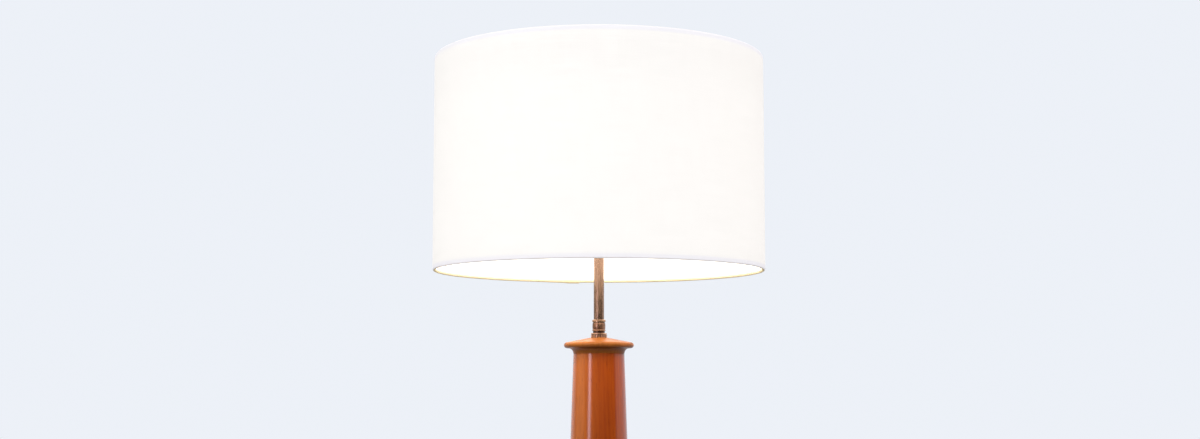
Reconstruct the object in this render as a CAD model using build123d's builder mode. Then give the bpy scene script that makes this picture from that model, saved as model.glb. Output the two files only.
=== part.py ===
"""Column table lamp: a turned hardwood column on a weighted foot, a brass neck and a linen drum shade.

A threaded pipe runs up the axis and clamps foot, column, cap, lock ring, collar and neck tube together. On its
top end sit the harp saddle and a screw-shell lamp holder with a turn switch. The harp carries the shade by a
swivelling stud and a finial. Millimetres, +Z up, origin on the axis where the felt meets the table. -Y is the
front, +Y the cord side.
"""

from build123d import *
from math import asin, atan2, cos, degrees, radians, sin, sqrt, tan
import os

# ---------------------------------------------------------------- driving dimensions
# Felt and foot
felt_radius = 81.0
felt_thickness = 2.0
foot_radius = 88.0
foot_rim_height = 20.0
foot_lower_round = 3.0
foot_upper_round = 8.0
foot_slope = 10.5  # degrees of the sloping upper face
foot_cove = 9.0
recess_radius = 68.0
recess_depth = 18.0

# Weight in the foot's recess
weight_radius = 65.0
weight_eye_radius = 21.0
weight_thickness = 12.0
weight_channel_width = 12.0
weight_screw_count = 3
weight_screw_circle_radius = 44.0
weight_screw_radius = 2.0
weight_screw_head_radius = 4.0
weight_screw_bite = 5.0  # length that holds in the wood

# Column and cap
column_length = 464.4
column_bottom_radius = 46.4
column_top_radius = 31.2
foot_tenon_radius = 22.0
foot_tenon_length = 8.0
cap_tenon_radius = 16.0
cap_tenon_length = 10.0
tenon_end_gap = 0.5
cap_radius = 42.6
cap_edge_round = 3.5
cap_slope = 11.2  # degrees of the domed upper face
cap_cove = 6.5
cap_seat_radius = 11.0
wood_bore_radius = 5.6
wood_joint_chamfer = 0.4  # on both edges of each joint between turned pieces

# Pipe, its lower nut and washer
pipe_radius = 4.8
pipe_bore_radius = 3.3
pipe_end_length = 2.0  # thread that shows below the nut
washer_radius = 15.0
washer_thickness = 1.5
nut_across_flats = 14.0
nut_height = 5.0

# Cord bushing at the back of the foot
bushing_radius = 4.5
bushing_bore_radius = 3.2
bushing_flange_radius = 6.5
bushing_flange_thickness = 2.0
bushing_seat_depth = 1.5

# Lock ring, collar and neck tube
ring_radius = 9.8
ring_knurl_height = 3.4
ring_groove_height = 0.5
ring_groove_depth = 0.5
ring_lip_height = 1.7
ring_lip_chamfer = 0.5
knurl_count = 28
knurl_size = 1.0
collar_undercut_radius = 7.3
collar_undercut_height = 2.5
collar_bead_radius = 0.9
collar_barrel_radius = 7.6
collar_barrel_height = 8.2
collar_barrel_bulge = 0.4
collar_groove_height = 1.1
collar_lip_radius = 8.2
collar_lip_height = 2.9
collar_lip_round = 1.1
collar_socket_depth = 5.0
tube_radius = 6.35
tube_wall = 0.8
tube_length = 92.0
neck_cap_radius = 8.5
neck_cap_thickness = 3.0
neck_cap_spigot = 4.0

# Harp saddle, harp and its two sleeves
saddle_thickness = 1.6
saddle_width = 12.0
saddle_bend = 12.0
saddle_ear_height = 16.0
saddle_post_width = 3.0
saddle_post_height = 6.0
harp_foot_offset = 24.0
harp_wire_radius = 1.75
harp_height = 207.0
harp_waist_height = 50.0
harp_waist_bend = 30.0
harp_half_width = 57.0
harp_widest_height = 98.0
harp_side_bend = 90.0
harp_shoulder_offset = 44.0
harp_shoulder_bend = 40.0
harp_boss_radius = 6.5
harp_boss_height = 4.5
sleeve_radius = 3.2
sleeve_length = 14.0
sleeve_gap = 0.3

# Lamp holder
holder_sheet = 0.6
holder_radius = 16.6
holder_neck_radius = 8.5
holder_neck_height = 10.0
holder_bowl_height = 9.0
holder_rim_height = 6.0
holder_lap = 5.0  # how far the shell stands inside the cap's rim
pipe_lap = 8.0  # how far the pipe screws into the holder
shell_height = 44.0
shell_bead_height = 1.5
liner_wall = 0.6
switch_slot_width = 7.0
body_radius = 14.6
body_flange_height = 3.0
body_height = 24.0
body_flat_offset = 13.0
screw_shell_radius = 14.1
screw_shell_wall = 0.4
screw_shell_height = 19.0
contact_length = 12.0
contact_width = 5.0
contact_thickness = 0.6
set_screw_radius = 1.5
set_screw_head_radius = 2.4
set_screw_head_height = 2.0
terminal_screw_radius = 1.5
terminal_head_radius = 2.8
terminal_head_height = 1.4
terminal_bite = 5.0

# Turn switch
switch_height = 12.0  # axis above the body's underside
switch_shaft_radius = 1.6
switch_shaft_bite = 8.0
switch_running_gap = 0.08
knob_radius = 5.5
knob_length = 13.0
knob_bore_depth = 8.0
knob_standoff = 3.0
knob_flute_count = 12
knob_flute_radius = 0.8
knob_end_round = 1.2

# Bulb
bulb_radius = 30.0
bulb_length = 108.0
bulb_glass_wall = 1.0
bulb_neck_radius = 12.4
bulb_neck_height = 34.0  # where the glass starts to swell
bulb_cap_radius = 13.2
bulb_cap_wall = 0.4
bulb_cap_height = 20.0
bulb_thread_depth = 0.8
bulb_thread_pitch = 3.6
bulb_thread_turns = 4
bulb_insulator_height = 4.5
bulb_contact_radius = 4.5
bulb_contact_height = 1.5

# Stud, spider and finial
stud_shank_radius = 2.4
stud_running_gap = 0.08
stud_head_radius = 4.2
stud_head_height = 1.6
stud_flange_radius = 8.0
stud_flange_thickness = 1.5
stud_post_radius = 3.1
stud_post_reach = 10.0  # post above the finial's washer
hub_radius = 13.0
hub_thickness = 1.5
hub_gap = 0.3
spoke_count = 3
spoke_radius = 1.5
spoke_rise_run = 30.0  # how far in from the ring a spoke starts to rise
spoke_bend = 14.0
spider_drop = 16.5
finial_washer_radius = 8.0
finial_washer_thickness = 1.2
finial_base_radius = 6.8
finial_base_height = 2.2
finial_neck_radius = 4.9
finial_neck_height = 3.6
finial_ball_radius = 8.4
finial_bore_depth = 11.5
finial_running_gap = 0.06

# Drum shade
shade_radius = 203.0
shade_height = 263.0
linen_thickness = 0.5
liner_thickness = 0.5
shade_wire_radius = 1.6
hem_notch_gap = 0.3  # between a spoke and the hem, each side
seam_width = 14.0
seam_thickness = 0.5
seam_bearing = 105.6  # degrees from +X, so a little left of straight behind

# ---------------------------------------------------------------- levels and places worked out from them
foot_z = felt_thickness
recess_ceiling_z = foot_z + recess_depth
foot_rim_z = foot_z + foot_rim_height
foot_slope_radius = foot_radius - foot_upper_round + foot_upper_round * sin(radians(foot_slope))
foot_slope_z = foot_rim_z - foot_upper_round + foot_upper_round * cos(radians(foot_slope))
foot_cove_radius = column_bottom_radius + foot_cove
foot_cove_z = foot_slope_z + (foot_slope_radius - foot_cove_radius) * tan(radians(foot_slope))
foot_cove_top_z = foot_cove_z + foot_cove
column_z = foot_cove_top_z + wood_joint_chamfer
column_top_z = column_z + column_length
cap_cove_z = column_top_z + wood_joint_chamfer
cap_flange_z = cap_cove_z + cap_cove
cap_slope_radius = cap_radius - cap_edge_round + cap_edge_round * sin(radians(cap_slope))
cap_slope_z = cap_flange_z + cap_edge_round + cap_edge_round * cos(radians(cap_slope))
ring_z = cap_slope_z + (cap_slope_radius - cap_seat_radius) * tan(radians(cap_slope))
ring_lip_z = ring_z + ring_knurl_height + ring_groove_height
collar_z = ring_lip_z + ring_lip_height
collar_bead_z = collar_z + collar_undercut_height
collar_barrel_z = collar_bead_z + 2 * collar_bead_radius
collar_groove_z = collar_barrel_z + collar_barrel_height
collar_lip_z = collar_groove_z + collar_groove_height
collar_top_z = collar_lip_z + collar_lip_height
tube_z = collar_top_z - collar_socket_depth
tube_top_z = tube_z + tube_length
tube_bore_radius = tube_radius - tube_wall
saddle_z = tube_top_z + neck_cap_thickness
saddle_top_z = saddle_z + saddle_thickness
saddle_shoulder_z = saddle_top_z + saddle_ear_height
harp_foot_z = saddle_shoulder_z + saddle_post_height
harp_apex_z = saddle_top_z + harp_height
harp_boss_z = harp_apex_z - harp_boss_height / 2
harp_boss_top_z = harp_boss_z + harp_boss_height

holder_z = saddle_top_z
pipe_top_z = holder_z + pipe_lap
holder_bowl_z = holder_z + holder_neck_height
holder_rim_z = holder_bowl_z + holder_bowl_height
holder_top_z = holder_rim_z + holder_rim_height
shell_z = holder_top_z - holder_lap
shell_top_z = shell_z + shell_height
shell_inner_radius = holder_radius - holder_sheet
liner_inner_radius = shell_inner_radius - liner_wall
body_top_z = shell_z + body_height
switch_z = shell_z + switch_height
bulb_z = body_top_z + contact_thickness

stud_flange_z = harp_boss_top_z
hub_z = stud_flange_z + stud_flange_thickness
hub_middle_z = hub_z + hub_thickness / 2
finial_washer_z = hub_z + hub_thickness
finial_z = finial_washer_z + finial_washer_thickness
post_top_z = finial_z + stud_post_reach

shade_wire_circle = shade_radius - linen_thickness - shade_wire_radius
hem_radius = shade_wire_radius + linen_thickness
top_wire_z = hub_middle_z + spider_drop
shade_top_z = top_wire_z + hem_radius
shade_z = shade_top_z - shade_height
bottom_wire_z = shade_z + hem_radius
liner_radius = shade_radius - linen_thickness
liner_inner_face = liner_radius - liner_thickness
linen_to_wire = sqrt(hem_radius**2 - shade_wire_radius**2)  # up and down, where the rolled hem starts
liner_to_wire = sqrt(hem_radius**2 - (liner_inner_face - shade_wire_circle) ** 2)

foot_cord_plane = Plane(
    origin=(0, foot_radius, foot_z + foot_rim_height / 2), x_dir=(1, 0, 0), z_dir=(0, 1, 0)
)
switch_plane = Plane(origin=(0, 0, switch_z), x_dir=(1, 0, 0), z_dir=(0, -1, 0))
set_screw_plane = Plane(
    origin=(0, 0, holder_z + holder_neck_height / 2), x_dir=(1, 0, 0), z_dir=(0, 1, 0)
)
terminal_planes = [Plane(origin=(0, 0, switch_z), z_dir=(side, 0, 0)) for side in (-1, 1)]

pieces = {}  # node name: solid or group of solids

# ---------------------------------------------------------------- foot, felt and weight
with BuildPart() as felt_pad:
    with BuildSketch(Plane.XY):
        Circle(felt_radius)
    extrude(amount=felt_thickness)
pieces["felt_pad"] = felt_pad.part

with BuildPart() as foot:
    with BuildSketch(Plane.XZ):
        with BuildLine():
            Polyline((0, column_z), (0, foot_z), (foot_radius - foot_lower_round, foot_z))
            CenterArc((foot_radius - foot_lower_round, foot_z + foot_lower_round), foot_lower_round, -90, 90)
            Line((foot_radius, foot_z + foot_lower_round), (foot_radius, foot_rim_z - foot_upper_round))
            upper_round_centre = (foot_radius - foot_upper_round, foot_rim_z - foot_upper_round)
            CenterArc(upper_round_centre, foot_upper_round, 0, 90 - foot_slope)
            Line((foot_slope_radius, foot_slope_z), (foot_cove_radius, foot_cove_z))
            CenterArc((foot_cove_radius, foot_cove_top_z), foot_cove, -90, -90)
            Polyline(
                (column_bottom_radius, foot_cove_top_z),
                (column_bottom_radius - wood_joint_chamfer, column_z),
                (0, column_z),
            )
        make_face()
    revolve(axis=Axis.Z)
    with BuildSketch(Plane.XY.offset(foot_z)):
        Circle(recess_radius)
    extrude(amount=recess_depth, mode=Mode.SUBTRACT)
    with Locations((0, 0, column_z)):
        CounterBoreHole(wood_bore_radius, foot_tenon_radius, foot_tenon_length + tenon_end_gap)
    with Locations(foot_cord_plane):
        CounterBoreHole(bushing_radius, bushing_flange_radius, bushing_seat_depth, foot_radius - weight_radius)
    with BuildSketch(Plane.XY.offset(recess_ceiling_z)):
        with PolarLocations(weight_screw_circle_radius, weight_screw_count, start_angle=-90):
            Circle(weight_screw_radius)
    extrude(amount=weight_screw_bite, mode=Mode.SUBTRACT)
pieces["foot"] = foot.part

with BuildPart() as cord_bushing:
    with BuildSketch(foot_cord_plane.offset(-bushing_seat_depth)):
        Circle(bushing_flange_radius)
        Circle(bushing_bore_radius, mode=Mode.SUBTRACT)
    extrude(amount=bushing_flange_thickness)
    flange_edge = cord_bushing.faces().sort_by(Axis.Y)[-1].edges().sort_by(SortBy.RADIUS)[-1]
    chamfer(flange_edge, bushing_flange_thickness / 4)
    with BuildSketch(foot_cord_plane.offset(-bushing_seat_depth)):
        Circle(bushing_radius)
        Circle(bushing_bore_radius, mode=Mode.SUBTRACT)
    extrude(amount=recess_radius + bushing_seat_depth - foot_radius)
pieces["cord_bushing"] = cord_bushing.part

weight_z = recess_ceiling_z - weight_thickness
with BuildPart() as base_weight:
    with BuildSketch(Plane.XY.offset(weight_z)):
        Circle(weight_radius)
        Circle(weight_eye_radius, mode=Mode.SUBTRACT)
        with Locations((0, weight_radius)):
            Rectangle(weight_channel_width, 2 * (weight_radius - weight_eye_radius / 2), mode=Mode.SUBTRACT)
    extrude(amount=weight_thickness)
    with Locations(Plane(origin=(0, 0, weight_z), x_dir=(1, 0, 0), z_dir=(0, 0, -1))):
        with PolarLocations(weight_screw_circle_radius, weight_screw_count, start_angle=90):
            CounterSinkHole(weight_screw_radius, weight_screw_head_radius, weight_thickness, 90)
pieces["base_weight"] = base_weight.part

with BuildPart() as weight_screws:
    with BuildSketch(Plane.XZ):
        with BuildLine():
            Polyline(
                (0, weight_z),
                (weight_screw_head_radius, weight_z),
                (weight_screw_radius, weight_z + weight_screw_head_radius - weight_screw_radius),
                (weight_screw_radius, recess_ceiling_z + weight_screw_bite - weight_screw_radius),
                (0, recess_ceiling_z + weight_screw_bite),
                close=True,
            )
        make_face()
    revolve(axis=Axis.Z)
weight_screw_circle = PolarLocations(weight_screw_circle_radius, weight_screw_count, start_angle=-90)
weight_screw_places = weight_screw_circle.local_locations
pieces["weight_screws"] = Compound([place * weight_screws.part for place in weight_screw_places])

# ---------------------------------------------------------------- column and cap
with BuildPart() as column:
    with BuildSketch(Plane.XZ):
        with BuildLine():
            Polyline(
                (0, column_z - foot_tenon_length),
                (foot_tenon_radius, column_z - foot_tenon_length),
                (foot_tenon_radius, column_z),
                (column_bottom_radius - wood_joint_chamfer, column_z),
                (column_bottom_radius, column_z + wood_joint_chamfer),
                (column_top_radius, column_top_z - wood_joint_chamfer),
                (column_top_radius - wood_joint_chamfer, column_top_z),
                (0, column_top_z),
                close=True,
            )
        make_face()
    revolve(axis=Axis.Z)
    with Locations((0, 0, column_top_z)):
        CounterBoreHole(wood_bore_radius, cap_tenon_radius, cap_tenon_length + tenon_end_gap)
pieces["column"] = column.part

with BuildPart() as column_cap:
    with BuildSketch(Plane.XZ):
        with BuildLine():
            Polyline(
                (0, ring_z),
                (0, column_top_z - cap_tenon_length),
                (cap_tenon_radius, column_top_z - cap_tenon_length),
                (cap_tenon_radius, column_top_z),
                (column_top_radius - wood_joint_chamfer, column_top_z),
                (column_top_radius, cap_cove_z),
            )
            CenterArc((column_top_radius + cap_cove, cap_cove_z), cap_cove, 180, -90)
            Line((column_top_radius + cap_cove, cap_flange_z), (cap_radius - cap_edge_round, cap_flange_z))
            edge_round_centre = (cap_radius - cap_edge_round, cap_flange_z + cap_edge_round)
            CenterArc(edge_round_centre, cap_edge_round, -90, 180 - cap_slope)
            Polyline((cap_slope_radius, cap_slope_z), (cap_seat_radius, ring_z), (0, ring_z))
        make_face()
    revolve(axis=Axis.Z)
    with Locations((0, 0, ring_z)):
        Hole(wood_bore_radius)
pieces["column_cap"] = column_cap.part

# ---------------------------------------------------------------- pipe and its fixings
nut_z = recess_ceiling_z - washer_thickness - nut_height
with BuildPart() as pipe_washer:
    with BuildSketch(Plane.XY.offset(nut_z + nut_height)):
        Circle(washer_radius)
        Circle(pipe_radius, mode=Mode.SUBTRACT)
    extrude(amount=washer_thickness)
pieces["pipe_washer"] = pipe_washer.part

with BuildPart() as pipe_nut:
    with BuildSketch(Plane.XY.offset(nut_z)):
        RegularPolygon(nut_across_flats / 2, 6, major_radius=False)
        Circle(pipe_radius, mode=Mode.SUBTRACT)
    extrude(amount=nut_height)
pieces["pipe_nut"] = pipe_nut.part

with BuildPart() as lamp_pipe:
    with BuildSketch(Plane.XY.offset(nut_z - pipe_end_length)):
        Circle(pipe_radius)
        Circle(pipe_bore_radius, mode=Mode.SUBTRACT)
    extrude(amount=pipe_top_z - nut_z + pipe_end_length)
pieces["lamp_pipe"] = lamp_pipe.part

# ---------------------------------------------------------------- lock ring, collar and neck tube
with BuildPart() as lock_ring:
    with BuildSketch(Plane.XY.offset(ring_z)):
        Circle(ring_radius)
        with PolarLocations(ring_radius, knurl_count):
            Rectangle(knurl_size, knurl_size, rotation=45, mode=Mode.SUBTRACT)
    extrude(amount=ring_knurl_height)
    with BuildSketch(Plane.XY.offset(ring_z + ring_knurl_height)):
        Circle(ring_radius - ring_groove_depth - knurl_size / 2)
    extrude(amount=ring_groove_height)
    with BuildSketch(Plane.XY.offset(ring_lip_z)):
        Circle(ring_radius)
    extrude(amount=ring_lip_height)
    chamfer(lock_ring.faces().sort_by(Axis.Z)[-1].edges(), ring_lip_chamfer)
    with Locations((0, 0, collar_z)):
        Hole(pipe_radius)
pieces["lock_ring"] = lock_ring.part

with BuildPart() as neck_collar:
    with BuildSketch(Plane.XZ):
        with BuildLine():
            Polyline(
                (pipe_radius, tube_z),
                (pipe_radius, collar_z),
                (collar_undercut_radius, collar_z),
                (collar_undercut_radius, collar_bead_z),
            )
            bead_centre = (collar_undercut_radius, collar_bead_z + collar_bead_radius)
            CenterArc(bead_centre, collar_bead_radius, -90, 180)
            Line((collar_undercut_radius, collar_barrel_z), (collar_barrel_radius, collar_barrel_z))
            ThreePointArc(
                (collar_barrel_radius, collar_barrel_z),
                (collar_barrel_radius + collar_barrel_bulge, collar_barrel_z + collar_barrel_height / 2),
                (collar_barrel_radius, collar_groove_z),
            )
            Polyline(
                (collar_barrel_radius, collar_groove_z),
                (collar_undercut_radius, collar_groove_z),
                (collar_undercut_radius, collar_lip_z),
                (collar_lip_radius, collar_lip_z),
                (collar_lip_radius, collar_top_z - collar_lip_round),
            )
            lip_round_centre = (collar_lip_radius - collar_lip_round, collar_top_z - collar_lip_round)
            CenterArc(lip_round_centre, collar_lip_round, 0, 90)
            Polyline(
                (collar_lip_radius - collar_lip_round, collar_top_z),
                (tube_radius, collar_top_z),
                (tube_radius, tube_z),
                (pipe_radius, tube_z),
            )
        make_face()
    revolve(axis=Axis.Z)
pieces["neck_collar"] = neck_collar.part

with BuildPart() as neck_tube:
    with BuildSketch(Plane.XY.offset(tube_z)):
        Circle(tube_radius)
        Circle(tube_bore_radius, mode=Mode.SUBTRACT)
    extrude(amount=tube_length)
pieces["neck_tube"] = neck_tube.part

with BuildPart() as neck_cap:
    with BuildSketch(Plane.XY.offset(tube_top_z)):
        Circle(neck_cap_radius)
    extrude(amount=neck_cap_thickness)
    fillet(neck_cap.faces().sort_by(Axis.Z)[0].edges(), neck_cap_thickness / 3)
    with BuildSketch(Plane.XY.offset(tube_top_z)):
        Circle(tube_bore_radius)
    extrude(amount=-neck_cap_spigot)
    with Locations((0, 0, saddle_z)):
        Hole(pipe_radius)
pieces["neck_cap"] = neck_cap.part

# ---------------------------------------------------------------- harp saddle, harp and sleeves
saddle_line_z = saddle_z + saddle_thickness / 2
with BuildPart() as harp_saddle:
    with BuildSketch(Plane.XZ):
        with BuildLine():
            FilletPolyline(
                (-harp_foot_offset, saddle_shoulder_z),
                (-harp_foot_offset, saddle_line_z),
                (harp_foot_offset, saddle_line_z),
                (harp_foot_offset, saddle_shoulder_z),
                radius=saddle_bend,
            )
        trace(line_width=saddle_thickness)
    extrude(amount=saddle_width / 2, both=True)
    with BuildSketch(Plane.XY.offset(saddle_shoulder_z)):
        with Locations((-harp_foot_offset, 0), (harp_foot_offset, 0)):
            Rectangle(saddle_thickness, saddle_post_width)
    extrude(amount=saddle_post_height)
    with Locations((0, 0, saddle_top_z)):
        Hole(pipe_radius, 2 * saddle_thickness)
pieces["harp_saddle"] = harp_saddle.part

with BuildPart() as harp:
    with BuildLine(Plane.XZ) as harp_line:
        FilletPolyline(
            (-harp_foot_offset, harp_foot_z),
            (-harp_foot_offset, saddle_top_z + harp_waist_height),
            (-harp_half_width, saddle_top_z + harp_widest_height),
            (-harp_shoulder_offset, harp_apex_z),
            (harp_shoulder_offset, harp_apex_z),
            (harp_half_width, saddle_top_z + harp_widest_height),
            (harp_foot_offset, saddle_top_z + harp_waist_height),
            (harp_foot_offset, harp_foot_z),
            radius=[
                harp_waist_bend,
                harp_side_bend,
                harp_shoulder_bend,
                harp_shoulder_bend,
                harp_side_bend,
                harp_waist_bend,
            ],
        )
    with BuildSketch(Plane.XY.offset(harp_foot_z)):
        with Locations((-harp_foot_offset, 0)):
            Circle(harp_wire_radius)
    sweep(path=harp_line.wires()[0])
    with BuildSketch(Plane.XY.offset(harp_boss_z)):
        Circle(harp_boss_radius)
    extrude(amount=harp_boss_height)
    with Locations((0, 0, harp_boss_top_z)):
        Hole(stud_shank_radius + stud_running_gap, harp_boss_height)
pieces["harp"] = harp.part

with BuildPart() as harp_sleeve:
    with BuildSketch(Plane.XY.offset(saddle_shoulder_z)):
        Circle(sleeve_radius)
        Circle(harp_wire_radius + sleeve_gap, mode=Mode.SUBTRACT)
    extrude(amount=sleeve_length)
    chamfer(harp_sleeve.faces().sort_by(Axis.Z)[-1].edges().sort_by(SortBy.RADIUS)[-1], sleeve_gap)
pieces["left_harp_sleeve"] = Pos(-harp_foot_offset, 0, 0) * harp_sleeve.part
pieces["right_harp_sleeve"] = Pos(harp_foot_offset, 0, 0) * harp_sleeve.part

# ---------------------------------------------------------------- lamp holder
holder_outer_radius = holder_radius + holder_sheet
with BuildPart() as holder_cap:
    with BuildSketch(Plane.XZ):
        with BuildLine():
            Polyline(
                (pipe_radius, pipe_top_z),
                (pipe_radius, holder_z),
                (holder_neck_radius, holder_z),
                (holder_neck_radius, holder_bowl_z),
            )
            EllipticalCenterArc(
                (holder_neck_radius, holder_rim_z),
                holder_outer_radius - holder_neck_radius,
                holder_bowl_height,
                start_angle=-90,
                arc_size=90,
            )
            Polyline(
                (holder_outer_radius, holder_rim_z),
                (holder_outer_radius, holder_top_z),
                (holder_radius, holder_top_z),
                (holder_radius, shell_z),
                (shell_inner_radius, shell_z),
                (shell_inner_radius, holder_rim_z),
            )
            EllipticalCenterArc(
                (holder_neck_radius, holder_rim_z),
                shell_inner_radius - holder_neck_radius,
                holder_bowl_height - holder_sheet,
                start_angle=-90,
                arc_size=90,
            )
            Polyline(
                (holder_neck_radius, holder_bowl_z + holder_sheet),
                (pipe_bore_radius, holder_bowl_z + holder_sheet),
                (pipe_bore_radius, pipe_top_z),
                (pipe_radius, pipe_top_z),
            )
        make_face()
    revolve(axis=Axis.Z)
    with Locations(set_screw_plane.offset(holder_neck_radius)):
        Hole(set_screw_radius, holder_neck_radius - pipe_radius)
pieces["holder_cap"] = holder_cap.part

with BuildPart() as set_screw:
    with BuildSketch(set_screw_plane.offset(pipe_radius)):
        Circle(set_screw_radius)
    extrude(amount=holder_neck_radius - pipe_radius)
    with BuildSketch(set_screw_plane.offset(holder_neck_radius)):
        Circle(set_screw_head_radius)
    extrude(amount=set_screw_head_height)
pieces["set_screw"] = set_screw.part

with BuildPart() as holder_shell:
    with BuildSketch(Plane.XZ):
        with BuildLine():
            Polyline(
                (shell_inner_radius, shell_z),
                (holder_radius, shell_z),
                (holder_radius, shell_top_z - shell_bead_height),
                (holder_outer_radius, shell_top_z - shell_bead_height / 2),
                (holder_radius, shell_top_z),
                (shell_inner_radius, shell_top_z),
                close=True,
            )
        make_face()
    revolve(axis=Axis.Z)
    with BuildSketch(switch_plane):
        Circle(switch_slot_width / 2)
        with Locations((0, -switch_height / 2)):
            Rectangle(switch_slot_width, switch_height)
    extrude(amount=holder_outer_radius, mode=Mode.SUBTRACT)
pieces["holder_shell"] = holder_shell.part

with BuildPart() as holder_liner:
    with BuildSketch(Plane.XY.offset(shell_z)):
        Circle(shell_inner_radius)
        Circle(liner_inner_radius, mode=Mode.SUBTRACT)
    extrude(amount=shell_height - holder_sheet)
    with BuildSketch(switch_plane):
        Circle(switch_slot_width / 2)
        with Locations((0, -switch_height / 2)):
            Rectangle(switch_slot_width, switch_height)
    extrude(amount=holder_outer_radius, mode=Mode.SUBTRACT)
pieces["holder_liner"] = holder_liner.part

with BuildPart() as holder_body:
    with BuildSketch(Plane.XY.offset(shell_z)):
        Circle(body_radius)
        Rectangle(2 * body_flat_offset, 2 * body_radius, mode=Mode.INTERSECT)
    extrude(amount=body_height)
    with BuildSketch(Plane.XY.offset(shell_z)):
        Circle(liner_inner_radius)
    extrude(amount=body_flange_height)
    with BuildSketch(Plane.XY.offset(body_top_z)):
        Circle(screw_shell_radius)
    extrude(amount=-body_flange_height)
    with Locations(switch_plane.offset(body_radius)):
        Hole(switch_shaft_radius + switch_running_gap, switch_shaft_bite)
    with Locations(*[plane.offset(body_flat_offset) for plane in terminal_planes]):
        Hole(terminal_screw_radius, terminal_bite)
pieces["holder_body"] = holder_body.part

with BuildPart() as terminal_screws:
    for plane in terminal_planes:
        with BuildSketch(plane.offset(body_flat_offset - terminal_bite)):
            Circle(terminal_screw_radius)
        extrude(amount=terminal_bite)
        with BuildSketch(plane.offset(body_flat_offset)):
            Circle(terminal_head_radius)
        extrude(amount=terminal_head_height)
pieces["terminal_screws"] = terminal_screws.part

with BuildPart() as screw_shell:
    with BuildSketch(Plane.XY.offset(body_top_z)):
        Circle(screw_shell_radius)
        Circle(screw_shell_radius - screw_shell_wall, mode=Mode.SUBTRACT)
    extrude(amount=screw_shell_height)
pieces["screw_shell"] = screw_shell.part

with BuildPart() as centre_contact:
    with BuildSketch(Plane.XY.offset(body_top_z)):
        SlotOverall(contact_length, contact_width)
    extrude(amount=contact_thickness)
pieces["centre_contact"] = centre_contact.part

# ---------------------------------------------------------------- turn switch
shaft_start = body_radius - switch_shaft_bite
knob_start = holder_outer_radius + knob_standoff
with BuildPart() as switch_shaft:
    with BuildSketch(switch_plane.offset(shaft_start)):
        Circle(switch_shaft_radius)
    extrude(amount=knob_start + knob_bore_depth - shaft_start)
pieces["switch_shaft"] = switch_shaft.part

with BuildPart() as switch_knob:
    with BuildSketch(switch_plane.offset(knob_start)):
        Circle(knob_radius)
    extrude(amount=knob_length)
    fillet(switch_knob.faces().sort_by(Axis.Y)[0].edges(), knob_end_round)
    with BuildSketch(switch_plane.offset(knob_start)):
        with PolarLocations(knob_radius, knob_flute_count):
            Circle(knob_flute_radius)
    extrude(amount=knob_length, mode=Mode.SUBTRACT)
    with BuildSketch(switch_plane.offset(knob_start)):
        Circle(switch_shaft_radius)
    extrude(amount=knob_bore_depth, mode=Mode.SUBTRACT)
pieces["switch_knob"] = switch_knob.part

# ---------------------------------------------------------------- bulb
bulb_insulator_z = bulb_z + bulb_contact_height
bulb_cap_z = bulb_insulator_z + bulb_insulator_height
bulb_cap_top_z = bulb_cap_z + bulb_cap_height
bulb_swell_z = bulb_z + bulb_neck_height
bulb_centre_z = bulb_z + bulb_length - bulb_radius
swell_rise = bulb_centre_z - bulb_swell_z
# The neck's hollow curve starts upright and meets the globe at a tangent, which settles its radius.
swell_radius = (bulb_neck_radius**2 + swell_rise**2 - bulb_radius**2) / (2 * (bulb_radius - bulb_neck_radius))
swell_angle = degrees(atan2(swell_rise, bulb_neck_radius + swell_radius))
swell_centre = (bulb_neck_radius + swell_radius, bulb_swell_z)
bulb_bore_radius = bulb_cap_radius - bulb_thread_depth - bulb_cap_wall

with BuildPart() as bulb_glass:
    with BuildSketch(Plane.XZ):
        with BuildLine():
            glass_inner_radius = bulb_neck_radius - bulb_glass_wall
            Polyline(
                (glass_inner_radius, bulb_swell_z),
                (glass_inner_radius, bulb_cap_top_z - bulb_cap_wall),
                (bulb_neck_radius, bulb_cap_top_z - bulb_cap_wall),
                (bulb_neck_radius, bulb_swell_z),
            )
            CenterArc(swell_centre, swell_radius, 180, -swell_angle)
            CenterArc((0, bulb_centre_z), bulb_radius, -swell_angle, 90 + swell_angle)
            Line((0, bulb_centre_z + bulb_radius), (0, bulb_centre_z + bulb_radius - bulb_glass_wall))
            CenterArc((0, bulb_centre_z), bulb_radius - bulb_glass_wall, 90, -90 - swell_angle)
            CenterArc(swell_centre, swell_radius + bulb_glass_wall, 180 - swell_angle, swell_angle)
        make_face()
    revolve(axis=Axis.Z)
pieces["bulb_glass"] = bulb_glass.part

with BuildPart() as bulb_screw_cap:
    with BuildSketch(Plane.XZ):
        with BuildLine():
            thread_z = bulb_cap_z + (bulb_cap_height - bulb_thread_turns * bulb_thread_pitch) / 2
            crest_z = [thread_z + turn * bulb_thread_pitch for turn in range(bulb_thread_turns + 1)]
            groove_radius = bulb_cap_radius - bulb_thread_depth
            Polyline((groove_radius, crest_z[0]), (groove_radius, bulb_cap_z), (bulb_bore_radius, bulb_cap_z))
            for low, high in zip(crest_z, crest_z[1:]):
                crest = (bulb_cap_radius, (low + high) / 2)
                ThreePointArc((groove_radius, low), crest, (groove_radius, high))
            Polyline(
                (groove_radius, crest_z[-1]),
                (bulb_neck_radius + bulb_cap_wall, bulb_cap_top_z),
                (bulb_neck_radius, bulb_cap_top_z),
                (bulb_neck_radius, bulb_cap_top_z - bulb_cap_wall),
                (bulb_bore_radius, bulb_cap_top_z - bulb_cap_wall),
                (bulb_bore_radius, bulb_cap_z),
            )
        make_face()
    revolve(axis=Axis.Z)
pieces["bulb_screw_cap"] = bulb_screw_cap.part

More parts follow.
